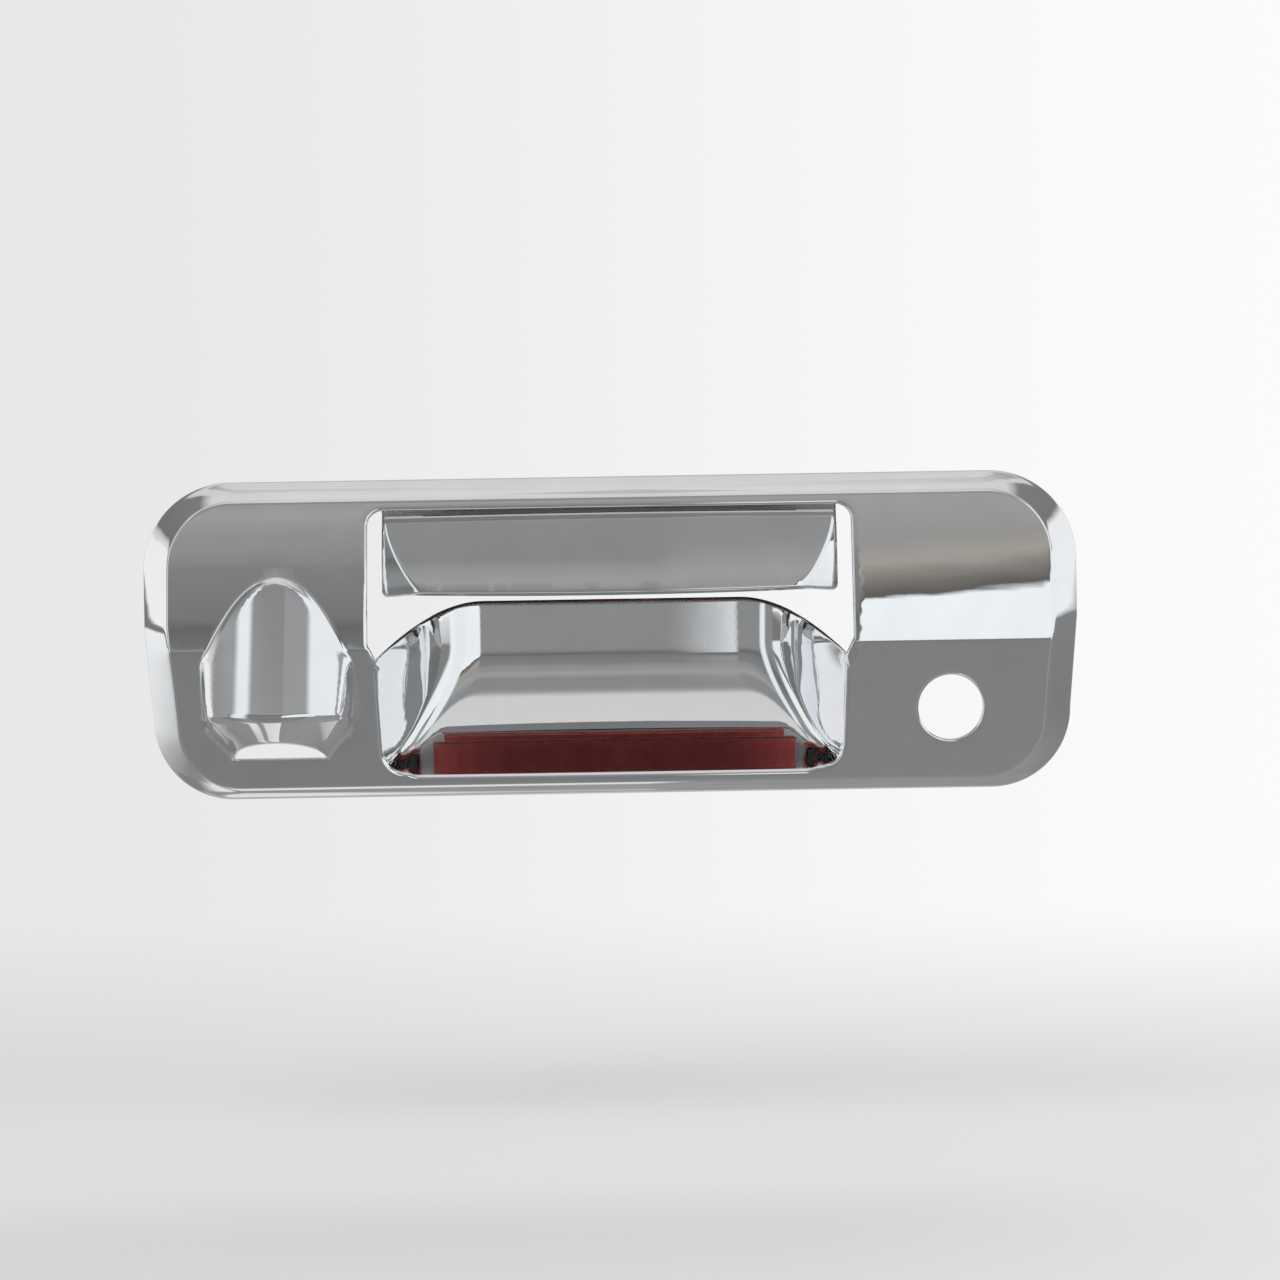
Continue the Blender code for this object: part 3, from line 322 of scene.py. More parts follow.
def mouth_outline():
    """The mouth: its lip's arch, closed along the flat bottom."""
    points = []
    for step in range(41):
        angle = math.radians(4.5 * step)
        across = MOUTH_HALF * math.cos(angle)
        points.append((HOOD_X + across, HOOD_BOTTOM_Z + MOUTH_RISE * math.sin(angle)))
    return points


# ---------------------------------------------------------------- bezel depths


def face_y(x, z):
    """The crowned face: an upper and a lower part that meet at the crease."""
    crown = FACE_CROWN * (x / HALF_WIDTH) ** 2
    rise = np.maximum(z - RIDGE_Z, 0.0) / (TOP_Z - BORDER_TOP - RIDGE_Z)
    upper = (RIDGE_DEPTH - TOP_EDGE_DEPTH) * (
        FACE_STRAIGHT * rise + (1.0 - FACE_STRAIGHT) * rise * rise
    )
    fall = np.maximum(RIDGE_Z - z, 0.0) / (RIDGE_Z - BOTTOM_Z - BORDER_BOTTOM)
    lower = (RIDGE_DEPTH - BOTTOM_EDGE_DEPTH) * fall
    return crown + np.where(z > RIDGE_Z, upper, lower) - RIDGE_DEPTH


def scoop_y(x, z):
    """The scoop's inside: the nearer of its rounded side bowl and its back and floor.

    The floor leaves the back at the fold, curves forward and bends again low down.
    """
    run = np.maximum(FOLD_Z - z, 0.0)
    past = np.maximum(run - FLOOR_BEND, 0.0)
    bent = np.minimum(past, BEND_SPAN)
    steeper = bent * bent / (2.0 * BEND_SPAN) + past - bent
    wall = SCOOP_BACK - FLOOR_SLOPE * run - FLOOR_CURVE * run ** 2 - BEND_SLOPE * steeper
    taper = SCOOP_TAPER * np.clip((ARCH_END - z) / TAPER_RUN, 0.0, 1.0)
    aside = np.abs(x) - (SCOOP_HALF - taper - SCOOP_CORNER)
    below = SCOOP_BOTTOM + SCOOP_CORNER - z
    depth = SCOOP_CORNER - np.hypot(np.maximum(aside, 0.0), np.maximum(below, 0.0))
    depth -= np.minimum(aside, 0.0)
    share = np.minimum(depth / SCOOP_SIDE_RUN, 1.0)
    edge = face_y(SCOOP_HALF, z)
    bowl = edge + (SCOOP_BACK - edge) * (1.0 - (1.0 - share) ** 2)
    near = np.clip(0.5 + 0.5 * (wall - bowl) / SCOOP_BLEND, 0.0, 1.0)
    return wall + (bowl - wall) * near - SCOOP_BLEND * near * (1.0 - near)


def hood_y(x, z):
    """The hood's outside, down to the mouth's lip."""
    across = np.abs(x - HOOD_X)
    level = np.maximum(z, HOOD_COLLAR_Z)
    fall = (HOOD_APEX_Z - level) / (HOOD_APEX_Z - HOOD_COLLAR_Z)
    front = -HOOD_APEX_DEPTH - (HOOD_FRONT_DEPTH - HOOD_APEX_DEPTH) * fall
    front += HOOD_ARCH * across ** 2
    inward = np.clip((hood_half(level) - across) / HOOD_SIDE, 0.0, 1.0)
    rise = np.sqrt(1.0 - (1.0 - inward) ** 2)
    face = face_y(x, level)
    skin = face + (np.minimum(front, face) - face) * rise
    bow = np.sqrt(1.0 - np.minimum(1.0, across / MOUTH_HALF) ** 2)
    beside = across >= MOUTH_HALF
    lip_z = HOOD_BOTTOM_Z + np.where(beside, (across - MOUTH_HALF) * COLLAR_RISE, MOUTH_RISE * bow)
    lip_y = np.where(beside, face_y(x, z), face_y(x, HOOD_BOTTOM_Z) - MOUTH_REACH * bow)
    down = np.clip((HOOD_COLLAR_Z - z) / np.maximum(HOOD_COLLAR_Z - lip_z, 0.1), 0.0, 1.0)
    return np.where(z >= HOOD_COLLAR_Z, skin, skin + (lip_y - skin) * down)


RIM = walk(outline(0.0, 0.0, 0.0), 2.0)
CONTOUR = walk(outline(BORDER_SIDE, BORDER_TOP, BORDER_BOTTOM), 2.0)
HOOD = np.array(hood_line())


def bezel_y(x, z, on_hood):
    """Depth of the bezel's front before its creases are softened."""
    made = face_y(x, z)
    beyond = ~within(x, z, CONTOUR)
    if beyond.any():
        places = np.stack([x[beyond], z[beyond]], axis=1)
        inner = nearest(places, [CONTOUR])[0]
        outer = nearest(places, [RIM])[0]
        share = inner / np.maximum(inner + outer, 1e-6)
        made[beyond] += (RIM_BACK - RIM_LIP - made[beyond]) * share
    scoop = (np.abs(x) < WINDOW_HALF) & (z < ARCH_TOP + 6.0)
    made = np.where(scoop, np.maximum(made, scoop_y(x, z)), made)
    hood = on_hood & (np.abs(x - HOOD_X) < HOOD_HALF) & (z < HOOD_APEX_Z)
    return np.where(hood, np.minimum(made, hood_y(x, z)), made)


def softened(field, x, z, *facts):
    """A field averaged over a small disc, which rounds its creases."""
    offsets = [(0.0, 0.0)]
    offsets += [tuple(np.array(spot) * 0.55 * FILLET) for spot in arc((0, 0), 1.0, 0, 300, 5)]
    offsets += [tuple(np.array(spot) * FILLET) for spot in arc((0, 0), 1.0, 15, 345, 11)]
    total = np.zeros(x.shape)
    for across, up in offsets:
        total += field(x + across, z + up, *facts)
    return total / len(offsets)


# ---------------------------------------------------------------- sheets with rolled edges


def grid(low, high, step):
    """Even points over a rectangle, every second row shifted half a step."""
    points = []
    rows = int((high[1] - low[1]) / step)
    columns = int((high[0] - low[0]) / step)
    for row in range(rows + 1):
        shift = 0.5 * step * (row % 2)
        for column in range(columns + 1):
            points.append((low[0] + shift + step * column, low[1] + step * row))
    return np.array(points)


def fill(loops, lines, points, keep):
    """Triangles over the plane that follow the loops and lines."""
    spots = []
    edges = []
    for line, closed in [(loop, True) for loop in loops] + [(line, False) for line in lines]:
        start = len(spots)
        spots += [Vector((float(x), float(z))) for x, z in line]
        count = len(line)
        edges += [(start + i, start + (i + 1) % count) for i in range(count if closed else count - 1)]
    tree = kdtree.KDTree(len(spots))
    for index, spot in enumerate(spots):
        tree.insert((spot.x, spot.y, 0.0), index)
    tree.balance()
    for x, z, clear in points:
        if tree.find((x, z, 0.0))[2] > clear:
            spots.append(Vector((float(x), float(z))))
    found = geometry.delaunay_2d_cdt(spots, edges, [], 0, 0.01)
    places = np.array([(spot.x, spot.y) for spot in found[0]])
    faces = np.array([face for face in found[2] if len(face) == 3])
    a, b, c = (places[faces[:, k]] for k in range(3))
    turn = (b[:, 0] - a[:, 0]) * (c[:, 1] - a[:, 1]) - (b[:, 1] - a[:, 1]) * (c[:, 0] - a[:, 0])
    faces = faces[np.abs(turn) > 1e-9]
    turn = turn[np.abs(turn) > 1e-9]
    faces[turn < 0] = faces[turn < 0][:, ::-1]
    middles = places[faces].mean(axis=1)
    faces = faces[keep(middles[:, 0], middles[:, 1])]
    used = np.unique(faces)
    order = np.full(len(places), -1)
    order[used] = np.arange(len(used))
    return places[used], order[faces]


def rolled_sheet(name, places, faces, loops, front, back, roll):
    """A closed solid from a front and a back, joined by a rounded edge along the loops.

    The places stop short of the loops by the roll, and front and back give their depths.
    """
    depth = front(places)
    points = [np.stack([places[:, 0], depth, places[:, 1]], axis=1)]
    behind = back(places, depth, faces)
    count = len(places)
    points.append(np.stack([places[:, 0], behind, places[:, 1]], axis=1))
    whole = [tuple(face) for face in faces]
    whole += [tuple(count + index for index in reversed(face)) for face in faces]
    edges = {}
    for face in faces:
        for here, there in zip(face, np.roll(face, -1)):
            edges[(int(here), int(there))] = True
    border = [edge for edge in edges if (edge[1], edge[0]) not in edges]
    ends = sorted({index for edge in border for index in edge})
    spots = nearest(places[ends], loops)[1]
    corner = np.stack([spots[:, 0], front(spots), spots[:, 1]], axis=1)
    start = points[0][ends]
    stop = corner + np.array([0.0, roll, 0.0])
    rings = []
    for step in range(1, ROLL_STEPS + 1):
        share = step / ROLL_STEPS
        rings.append(
            start * (1 - share) ** 2 + corner * 2 * share * (1 - share) + stop * share ** 2
        )
    last = stop.copy()
    last[:, 1] = np.maximum(behind[ends], stop[:, 1] + 0.2)
    rings.append(last)
    order = {index: row for row, index in enumerate(ends)}
    base = 2 * count
    points += rings
    for here, there in border:
        a = order[here]
        b = order[there]
        chain_a = [here] + [base + k * len(ends) + a for k in range(len(rings))] + [count + here]
        chain_b = [there] + [base + k * len(ends) + b for k in range(len(rings))] + [count + there]
        for k in range(len(chain_a) - 1):
            whole.append((chain_b[k], chain_a[k], chain_a[k + 1], chain_b[k + 1]))
    mesh = bpy.data.meshes.new(name)
    mesh.from_pydata((np.vstack(points) * MM).tolist(), [], [list(map(int, f)) for f in whole])
    mesh.update()
    piece = bpy.data.objects.new(name, mesh)
    bpy.context.collection.objects.link(piece)
    return piece, len(faces)


def facing(points, faces):
    """How squarely each point of a sheet faces the front, from 0 to 1."""
    a, b, c = (points[faces[:, k]] for k in range(3))
    normals = np.cross(b - a, c - a)
    total = np.zeros(points.shape)
    for k in range(3):
        np.add.at(total, faces[:, k], normals)
    return np.abs(total[:, 1]) / np.maximum(np.linalg.norm(total, axis=1), 1e-9)


def select_only(*pieces):
    """Deselect everything, then select these pieces and make the first active."""
    bpy.ops.object.select_all(action="DESELECT")
    for piece in pieces:
        piece.select_set(True)
    bpy.context.view_layer.objects.active = pieces[0]


def smooth(piece, degrees=32.0):
    """Shade a piece smooth except at its sharp edges."""
    select_only(piece)
    bpy.ops.object.shade_smooth_by_angle(angle=math.radians(degrees))


def merge(name, pieces):
    """Join pieces into one object."""
    select_only(*pieces)
    bpy.ops.object.join()
    made = bpy.context.view_layer.objects.active
    made.name = name
    return made


def settle(piece):
    """Put a piece's place in its mesh, so that its object sits at the origin."""
    select_only(piece)
    bpy.ops.object.transform_apply(location=True, rotation=True, scale=True)


def tube(name, profile, axis, centre, sides=40):
    """Turn a closed profile of (place along the axis, radius) pairs into a ring."""
    form = bmesh.new()
    rings = []
    for place, radius in profile:
        ring = []
        for first, second in arc(centre, radius, 0.0, 360.0, sides)[:-1]:
            spot = [first, second]
            spot.insert(axis, place)
            ring.append(form.verts.new(Vector(spot) * MM))
        rings.append(ring)
    for here, there in zip(rings, rings[1:] + rings[:1]):
        for index in range(sides):
            after = (index + 1) % sides
            form.faces.new([here[index], here[after], there[after], there[index]])
    bmesh.ops.recalc_face_normals(form, faces=form.faces)
    mesh = bpy.data.meshes.new(name)
    form.to_mesh(mesh)
    form.free()
    piece = bpy.data.objects.new(name, mesh)
    bpy.context.collection.objects.link(piece)
    return piece


# ---------------------------------------------------------------- bezel


def bezel_front(places):
    """Softened depth of the bezel's front at each place."""
    x, z = places[:, 0], places[:, 1]
    across = np.minimum(np.abs(x - HOOD_X) / MOUTH_HALF, 1.0)
    sill = HOOD_BOTTOM_Z + MOUTH_RISE * np.sqrt(1.0 - across ** 2) * 0.5
    return softened(bezel_y, x, z, z > sill)


def bezel_back(places, depth, faces):
    """Depth of the bezel's back: its wall behind the front, flat at the rim."""
    points = np.stack([places[:, 0], depth, places[:, 1]], axis=1)
    made = depth + WALL / np.maximum(facing(points, faces), LEAST_FACING)
    beyond = ~within(places[:, 0], places[:, 1], CONTOUR)
    made[beyond] = np.minimum(made[beyond], RIM_BACK)
    gap = nearest(places, [RIM])[0]
    return np.where(gap < RIM_FLAT, RIM_BACK, made)


def bezel_skin():
    """The moulding's skin, with its openings."""
    window = walk(window_outline(), 1.6)
    lock = walk(arc(LOCK, LOCK_R, 0.0, 360.0, 72)[:-1], 1.2)
    mouth = walk(mouth_outline(), 0.9)
    loops = [RIM, window, lock, mouth]
    inset = []
    for loop, outwards in zip(loops, (-1.0, 1.0, 1.0, 1.0)):
        side = -outwards if turns_left(loop) else outwards
        inset.append(moved_sideways(loop, side * ROLL))
    scoop = walk(scoop_line(), 1.8, closed=False)
    hood = walk(HOOD, 1.2, closed=False)
    arm = side_x(RIDGE_Z) - BORDER_SIDE - 3.0
    lines = []
    rings = []
    for offset in CREASE_ROWS:
        rings.append(moved_sideways(CONTOUR, offset))
        lines.append(moved_sideways(scoop, offset, closed=False)[3:-3])
        lines.append(moved_sideways(hood, offset, closed=False)[3:-3])
        level = RIDGE_Z + offset
        lines.append(walk([(-arm, level), (HOOD_X - HOOD_HALF - 3.0, level)], 2.5, False))
        lines.append(walk([(HOOD_X + HOOD_HALF + 3.0, level), (-SCOOP_HALF - 3.5, level)], 2.5, False))
        lines.append(walk([(SCOOP_HALF + 3.5, level), (arm, level)], 2.5, False))
    points = []
    for low, high, step, wanted in (
        ((-HALF_WIDTH, BOTTOM_Z), (HALF_WIDTH, TOP_Z), FACE_STEP, "face"),
        ((-SCOOP_HALF, SCOOP_BOTTOM), (SCOOP_HALF, ARCH_TOP), SCOOP_STEP, "scoop"),
        ((HOOD_X - HOOD_HALF, HOOD_BOTTOM_Z), (HOOD_X + HOOD_HALF, HOOD_APEX_Z), HOOD_STEP, "hood"),
    ):
        spread = grid(low, high, step)
        x, z = spread[:, 0], spread[:, 1]
        in_scoop = (np.abs(x) < SCOOP_HALF) & (z < ARCH_TOP)
        in_hood = (np.abs(x - HOOD_X) < HOOD_HALF) & (z < HOOD_APEX_Z) & (z > HOOD_BOTTOM_Z)
        areas = {"face": ~in_scoop & ~in_hood, "scoop": in_scoop, "hood": in_hood}
        chosen = areas[wanted] & within(x, z, inset[0])
        points += [(a, b, step * CLEAR_SHARE) for a, b in spread[chosen]]

    def keep(x, z):
        open_area = within(x, z, inset[1]) | within(x, z, inset[2]) | within(x, z, inset[3])
        return within(x, z, inset[0]) & ~open_area

    places, faces = fill(inset + rings, lines, points, keep)
    return rolled_sheet("bezel_skin", places, faces, loops, bezel_front, bezel_back, ROLL)


def back_faces(piece, count):
    """Give the sheet's back the second finish."""
    marks = np.zeros(len(piece.data.polygons), np.int32)
    marks[count:2 * count] = 1
    piece.data.polygons.foreach_set("material_index", marks)


def make_bezel():
    """The chrome moulding with its stud posts and screw bosses."""
    skin, count = bezel_skin()
    for surface in (CHROME, SATIN):
        skin.data.materials.append(surface)
    back_faces(skin, count)
    smooth(skin)
    pieces = [skin]
    for places, radius, back, hole in (
        (POSTS, POST_R, 0.0, STUD_HOLE_R),
        (BOSSES, BOSS_R, BOSS_BACK, SCREW_HOLE_R),
    ):
        for x, z in places:
            ring = np.array(arc((x, z), radius, 0.0, 345.0, 23))
            depths = bezel_y(ring[:, 0], ring[:, 1], ring[:, 0] > WINDOW_HALF)
            front = float(depths.max()) + WALL * 0.5
            profile = [(front, radius), (back - POST_CHAMFER, radius), (back, radius - POST_CHAMFER)]
            profile += [(back, hole + HOLE_CHAMFER), (back - HOLE_CHAMFER, hole), (front, hole)]
            post = tube("post", profile, 1, (x, z))
            post.data.materials.append(SATIN)
            smooth(post)
            pieces.append(post)
    made = merge("bezel_moulding", pieces)
    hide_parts("bezel")
    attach(made, "bezel_body")
    return made


# ---------------------------------------------------------------- lever


def crease_x(up):
    """Where the lever's bulged face ends and its end facet begins."""
    share = np.clip((up - LEVER_FOOT) / (LEVER_TOP - LEVER_FOOT), 0.0, 1.0)
    return CREASE_FOOT + CREASE_SPREAD * np.sin(math.radians(90.0) * share) ** CREASE_POWER


def lever_y(x, up):
    """How far back the lever's face lies, in its own axes, before softening."""
    share = (up - LEVER_FOOT) / (LEVER_TOP - LEVER_FOOT)
    bulge = LEVER_BULGE + LEVER_RISE * share - LEVER_CURVE * share * share
    edge = crease_x(up)
    across = np.minimum(np.abs(x), edge)
    bulge -= LEVER_CROWN * (across / LEVER_HALF) ** 2
    bulge -= FACET_DROP * np.maximum(0.0, np.abs(x) - edge)
    return -LEVER_FACE - bulge


def foot_up(x):
    """Height of the lever's foot, which sags towards the middle."""
    return LEVER_FOOT - LEVER_SAG * (1.0 - (x / LEVER_HALF) ** 2)


def lever_front(places):
    """Softened depth of the lever's front at each place."""
    return softened(lever_y, places[:, 0], places[:, 1])


def lever_back(_places, depth, _faces):
    """Depth of the lever's flat back, thinner behind the end facets."""
    return np.maximum(-LEVER_FACE + LEVER_WALL, depth + FACET_WALL)


def lever_matrix():
    """From the lever's own axes to the world, in metres."""
    place = Vector([value * MM for value in LEVER_PLACE])
    return Matrix.Translation(place) @ Matrix.Rotation(-LEVER_LEAN, 4, "X")


def make_lever():
    """The chrome pull lever: a bulged front with end facets."""
    half = [(0.0, LEVER_TOP)]
    half += arc((LEVER_HALF - LEVER_TOP_R, LEVER_TOP - LEVER_TOP_R), LEVER_TOP_R, 90.0, 0.0, 4)
    foot = (LEVER_HALF - LEVER_CORNER, LEVER_FOOT + LEVER_CORNER)
    half += arc(foot, LEVER_CORNER, 0.0, -90.0, 8)
    half += [(x, foot_up(x)) for x in np.arange(84.0, -1.0, -4.0)]
    loop = walk(mirrored(half), 1.8)
    side = LEVER_ROLL if turns_left(loop) else -LEVER_ROLL
    inset = moved_sideways(loop, side)
    lines = []
    levels = np.linspace(LEVER_FOOT + 2.0, LEVER_TOP - 2.0, 26)
    for end in (-1.0, 1.0):
        crease = np.stack([end * crease_x(levels), levels], axis=1)
        lines += [moved_sideways(crease, offset, False) for offset in CREASE_ROWS]
    spread = grid((-LEVER_HALF, LEVER_FOOT - LEVER_SAG), (LEVER_HALF, LEVER_TOP), 2.2)
    spread = spread[within(spread[:, 0], spread[:, 1], inset)]
    points = [(x, up, 1.4) for x, up in spread]
    places, faces = fill([inset], lines, points, lambda x, up: within(x, up, inset))
    made, count = rolled_sheet(
        "lever_paddle", places, faces, [loop], lever_front, lever_back, LEVER_ROLL
    )
    for surface in (CHROME, SATIN):
        made.data.materials.append(surface)
    back_faces(made, count)
    smooth(made)
    made.data.transform(lever_matrix())
    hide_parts("lever_cover")
    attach(made, "lever")
    return made


# ---------------------------------------------------------------- finishes


def finish(name, colour, roughness, metallic=0.0):
    """A Principled finish and its tree."""
    made = bpy.data.materials.new(name)
    made.use_nodes = True
    tree = made.node_tree
    shader = tree.nodes["Principled BSDF"]
    shader.inputs["Base Color"].default_value = (*colour, 1.0)
    shader.inputs["Roughness"].default_value = roughness
    shader.inputs["Metallic"].default_value = metallic
    made.diffuse_color = (*colour, 1.0)
    return made


def noise(tree, scale, detail=3.0, stretch=(1.0, 1.0, 1.0)):
    """Noise on the piece's own place, in metres."""
    place = tree.nodes.new("ShaderNodeTexCoord")
    turn = tree.nodes.new("ShaderNodeMapping")
    turn.inputs["Scale"].default_value = stretch
    made = tree.nodes.new("ShaderNodeTexNoise")
    made.inputs["Scale"].default_value = scale
    made.inputs["Detail"].default_value = detail
    tree.links.new(place.outputs["Object"], turn.inputs["Vector"])
    tree.links.new(turn.outputs["Vector"], made.inputs["Vector"])
    return made.outputs["Fac"]


def spread_value(tree, value, low, high, into):
    """Remap a 0 to 1 pattern between two values and feed it in."""
    ranger = tree.nodes.new("ShaderNodeMapRange")
    ranger.inputs["From Min"].default_value = 0.3
    ranger.inputs["From Max"].default_value = 0.7
    ranger.inputs["To Min"].default_value = low
    ranger.inputs["To Max"].default_value = high
    tree.links.new(value, ranger.inputs["Value"])
    tree.links.new(ranger.outputs["Result"], into)


def tint(tree, value, low, high):
    """Vary the base colour between two colours by a pattern."""
    ramp = tree.nodes.new("ShaderNodeValToRGB")
    ramp.color_ramp.elements[0].position = 0.3
    ramp.color_ramp.elements[0].color = (*low, 1.0)
    ramp.color_ramp.elements[1].position = 0.7
    ramp.color_ramp.elements[1].color = (*high, 1.0)
    tree.links.new(value, ramp.inputs["Fac"])
    shader = tree.nodes["Principled BSDF"]
    tree.links.new(ramp.outputs["Color"], shader.inputs["Base Color"])


def relief(tree, value, height):
    """Raise the surface by a pattern, height in metres."""
    bump = tree.nodes.new("ShaderNodeBump")
    bump.inputs["Strength"].default_value = 1.0
    bump.inputs["Distance"].default_value = height
    shader = tree.nodes["Principled BSDF"]
    tree.links.new(value, bump.inputs["Height"])
    tree.links.new(bump.outputs["Normal"], shader.inputs["Normal"])


def patterned(name, low, high, rough, metallic, scale, height, detail=3.0, stretch=(1, 1, 1)):
    """A finish whose colour, roughness and relief follow one noise pattern."""
    made = finish(name, high, sum(rough) / 2, metallic)
    tree = made.node_tree
    value = noise(tree, scale, detail, stretch)
    tint(tree, value, low, high)
    broad = noise(tree, scale * 0.13, 2.0)
    spread_value(tree, broad, *rough, tree.nodes["Principled BSDF"].inputs["Roughness"])
    relief(tree, value, height)
    return made


CHROME = patterned(
    "chrome_plate", (0.86, 0.87, 0.885), (0.90, 0.91, 0.925), (0.008, 0.024), 1.0, 70.0, 0.000006
)
SATIN = patterned(
    "unpolished_plate", (0.60, 0.60, 0.61), (0.72, 0.72, 0.73), (0.40, 0.55), 0.4, 900.0, 0.00004
)
NYLON = patterned(
    "black_nylon", (0.040, 0.040, 0.042), (0.062, 0.062, 0.065), (0.42, 0.58), 0.0, 2600.0, 0.00006
)
ZINC = patterned(
    "zinc_plate", (0.52, 0.52, 0.49), (0.66, 0.66, 0.64), (0.24, 0.40), 1.0, 700.0, 0.00001
)
SPRING = patterned(
    "spring_steel", (0.10, 0.10, 0.105), (0.20, 0.20, 0.21), (0.30, 0.42), 1.0, 900.0, 0.00001
)
FILM = patterned(
    "red_film", (0.42, 0.075, 0.065), (0.52, 0.105, 0.095), (0.16, 0.28), 0.0, 240.0, 0.00002
)
RUBBER = patterned(
    "rubber", (0.012, 0.012, 0.012), (0.024, 0.024, 0.024), (0.70, 0.88), 0.0, 1800.0, 0.00003
)
FOAM = patterned(
    "cell_foam", (0.014, 0.014, 0.014), (0.040, 0.040, 0.040), (0.88, 0.98), 0.0, 3200.0, 0.00010
)
ACETAL = patterned(
    "natural_acetal", (0.66, 0.65, 0.60), (0.76, 0.75, 0.70), (0.32, 0.44), 0.0, 500.0, 0.00001
)
FINISHES = {
    "black_nylon": NYLON,
    "zinc_steel": ZINC,
    "spring_steel": SPRING,
    "red_film": FILM,
    "rubber": RUBBER,
    "foam": FOAM,
    "acetal": ACETAL,
}


def dress_nodes():
    """Give every carried-over node its finish."""
    for part in frame["record"]["subparts"]:
        found = FINISHES.get(part["material_slot"])
        piece = frame["nodes"][part["node"]]
        if not found:
            continue
        for slot in piece.material_slots:
            slot.material = found
        if not piece.material_slots:
            piece.data.materials.append(found)


# ---------------------------------------------------------------- studio


def step_node(tree, value, low, high):
    """0 below low, 1 above high, with a soft step between."""
    made = tree.nodes.new("ShaderNodeMapRange")
    made.interpolation_type = "SMOOTHSTEP"
    made.inputs["From Min"].default_value = low
    made.inputs["From Max"].default_value = high
    tree.links.new(value, made.inputs["Value"])
    return made.outputs["Result"]


def calculate(tree, operation, *values):
    """One Math node on links or numbers."""
    made = tree.nodes.new("ShaderNodeMath")
    made.operation = operation
    for index, value in enumerate(values):
        if isinstance(value, (int, float)):
            made.inputs[index].default_value = value
        else:
            tree.links.new(value, made.inputs[index])
    return made.outputs[0]


def mixed(tree, share, first, second):
    """Mix two colours by a share."""
    made = tree.nodes.new("ShaderNodeMix")
    made.data_type = "RGBA"
    tree.links.new(share, made.inputs["Factor"])
    for key, value in ((6, first), (7, second)):
        if isinstance(value, tuple):
            made.inputs[key].default_value = (*value, 1.0)
        else:
            tree.links.new(value, made.inputs[key])
    return made.outputs[2]


def bands(tree, height, stops):
    """A colour for each height above the horizon, in degrees, blended between the stops."""
    made = tree.nodes.new("ShaderNodeValToRGB")
    ramp = made.color_ramp
    ramp.interpolation = "LINEAR"
    while len(ramp.elements) < len(stops):
        ramp.elements.new(0.5)
    for element, (degrees, colour) in zip(ramp.elements, stops):
        element.position = (degrees + 90.0) / 180.0
        element.color = (*colour, 1.0)
    tree.links.new(height, made.inputs["Fac"])
    return made.outputs["Color"]


def grey(value, blue=0.0):
    """A grey, a little bluer where asked."""
    return (value * (1.0 - blue), value * (1.0 - 0.3 * blue), value)


FRONT_RIGHT = [
    (-90, grey(0.34)), (-40, grey(0.25)), (-6.0, grey(0.20)), (-5.5, grey(0.95, 0.05)),
    (15.5, grey(1.0, 0.05)), (15.9, (0.11, 0.105, 0.10)), (18.5, (0.22, 0.205, 0.185)),
    (21.5, (0.40, 0.375, 0.34)), (25, (0.34, 0.33, 0.32)), (32, grey(0.37)), (40, grey(0.30)),
    (46, grey(0.29)), (48, grey(0.34)), (50.5, grey(0.66)), (90, grey(0.72)),
]
FRONT_LEFT = [
    (-90, grey(0.34)), (-80, grey(0.34)), (-74, grey(0.80)), (-60, grey(0.80)),
    (-50, grey(0.24)), (-7.0, grey(0.19)), (-3.0, grey(0.28)), (4.0, grey(0.27)),
    (12.0, grey(0.19)), (15.5, grey(0.15)), (17, grey(0.20)), (25, grey(0.24)), (30, grey(0.37)),
    (33, grey(0.33)), (36, grey(0.27)), (46, grey(0.28)), (48, grey(0.34)), (50.5, grey(0.66)),
    (90, grey(0.72)),
]
STREAK = [
    (-90, grey(0.30)), (-14, grey(0.30)), (-10, grey(0.92, 0.03)), (46, grey(0.92, 0.03)),
    (50, grey(0.30)), (90, grey(0.74)),
]
# Turns away from straight ahead, in degrees: the streaks, then the soft changes between parts
STREAKS = [(-42.0, -30.0), (24.0, 49.0)]
STREAK_SOFT = 3.0
RIGHT_HALF = (0.4, 2.6)
SIDE_PANELS = (58.0, 66.0)
BEHIND = (125.0, 150.0)
# Near one height the edges between colours wander a little and lean with the turn
RAGGED_HEIGHT = 17.0
RAGGED_FADE = (6.0, 12.0)
RAGGED_SIZE = 2.4
RAGGED_GRAIN = 34.0
LEAN_SLOPE = -0.5
LEAN_MOST = 3.0
BACKDROP = (grey(0.80), grey(0.965))
BACKDROP_SPAN = 0.22
SIDE_RIGHT = [
    (-90, grey(0.34)), (-10, grey(0.22)), (0, grey(0.24)), (2, grey(0.95, 0.03)),
    (30, grey(0.92)), (35, grey(0.20)), (62, grey(0.22)), (70, grey(0.70)), (90, grey(0.74)),
]
SIDE_LEFT = [
    (-90, grey(0.34)), (-45, grey(0.26)), (-25, grey(0.48)), (-3, grey(0.92, 0.02)),
    (-0.4, grey(0.92)), (0, grey(0.20)), (1.4, grey(0.20)), (1.8, grey(0.95)), (26, grey(0.92)),
    (31, grey(0.18)), (62, grey(0.22)), (70, grey(0.70)), (90, grey(0.74)),
]


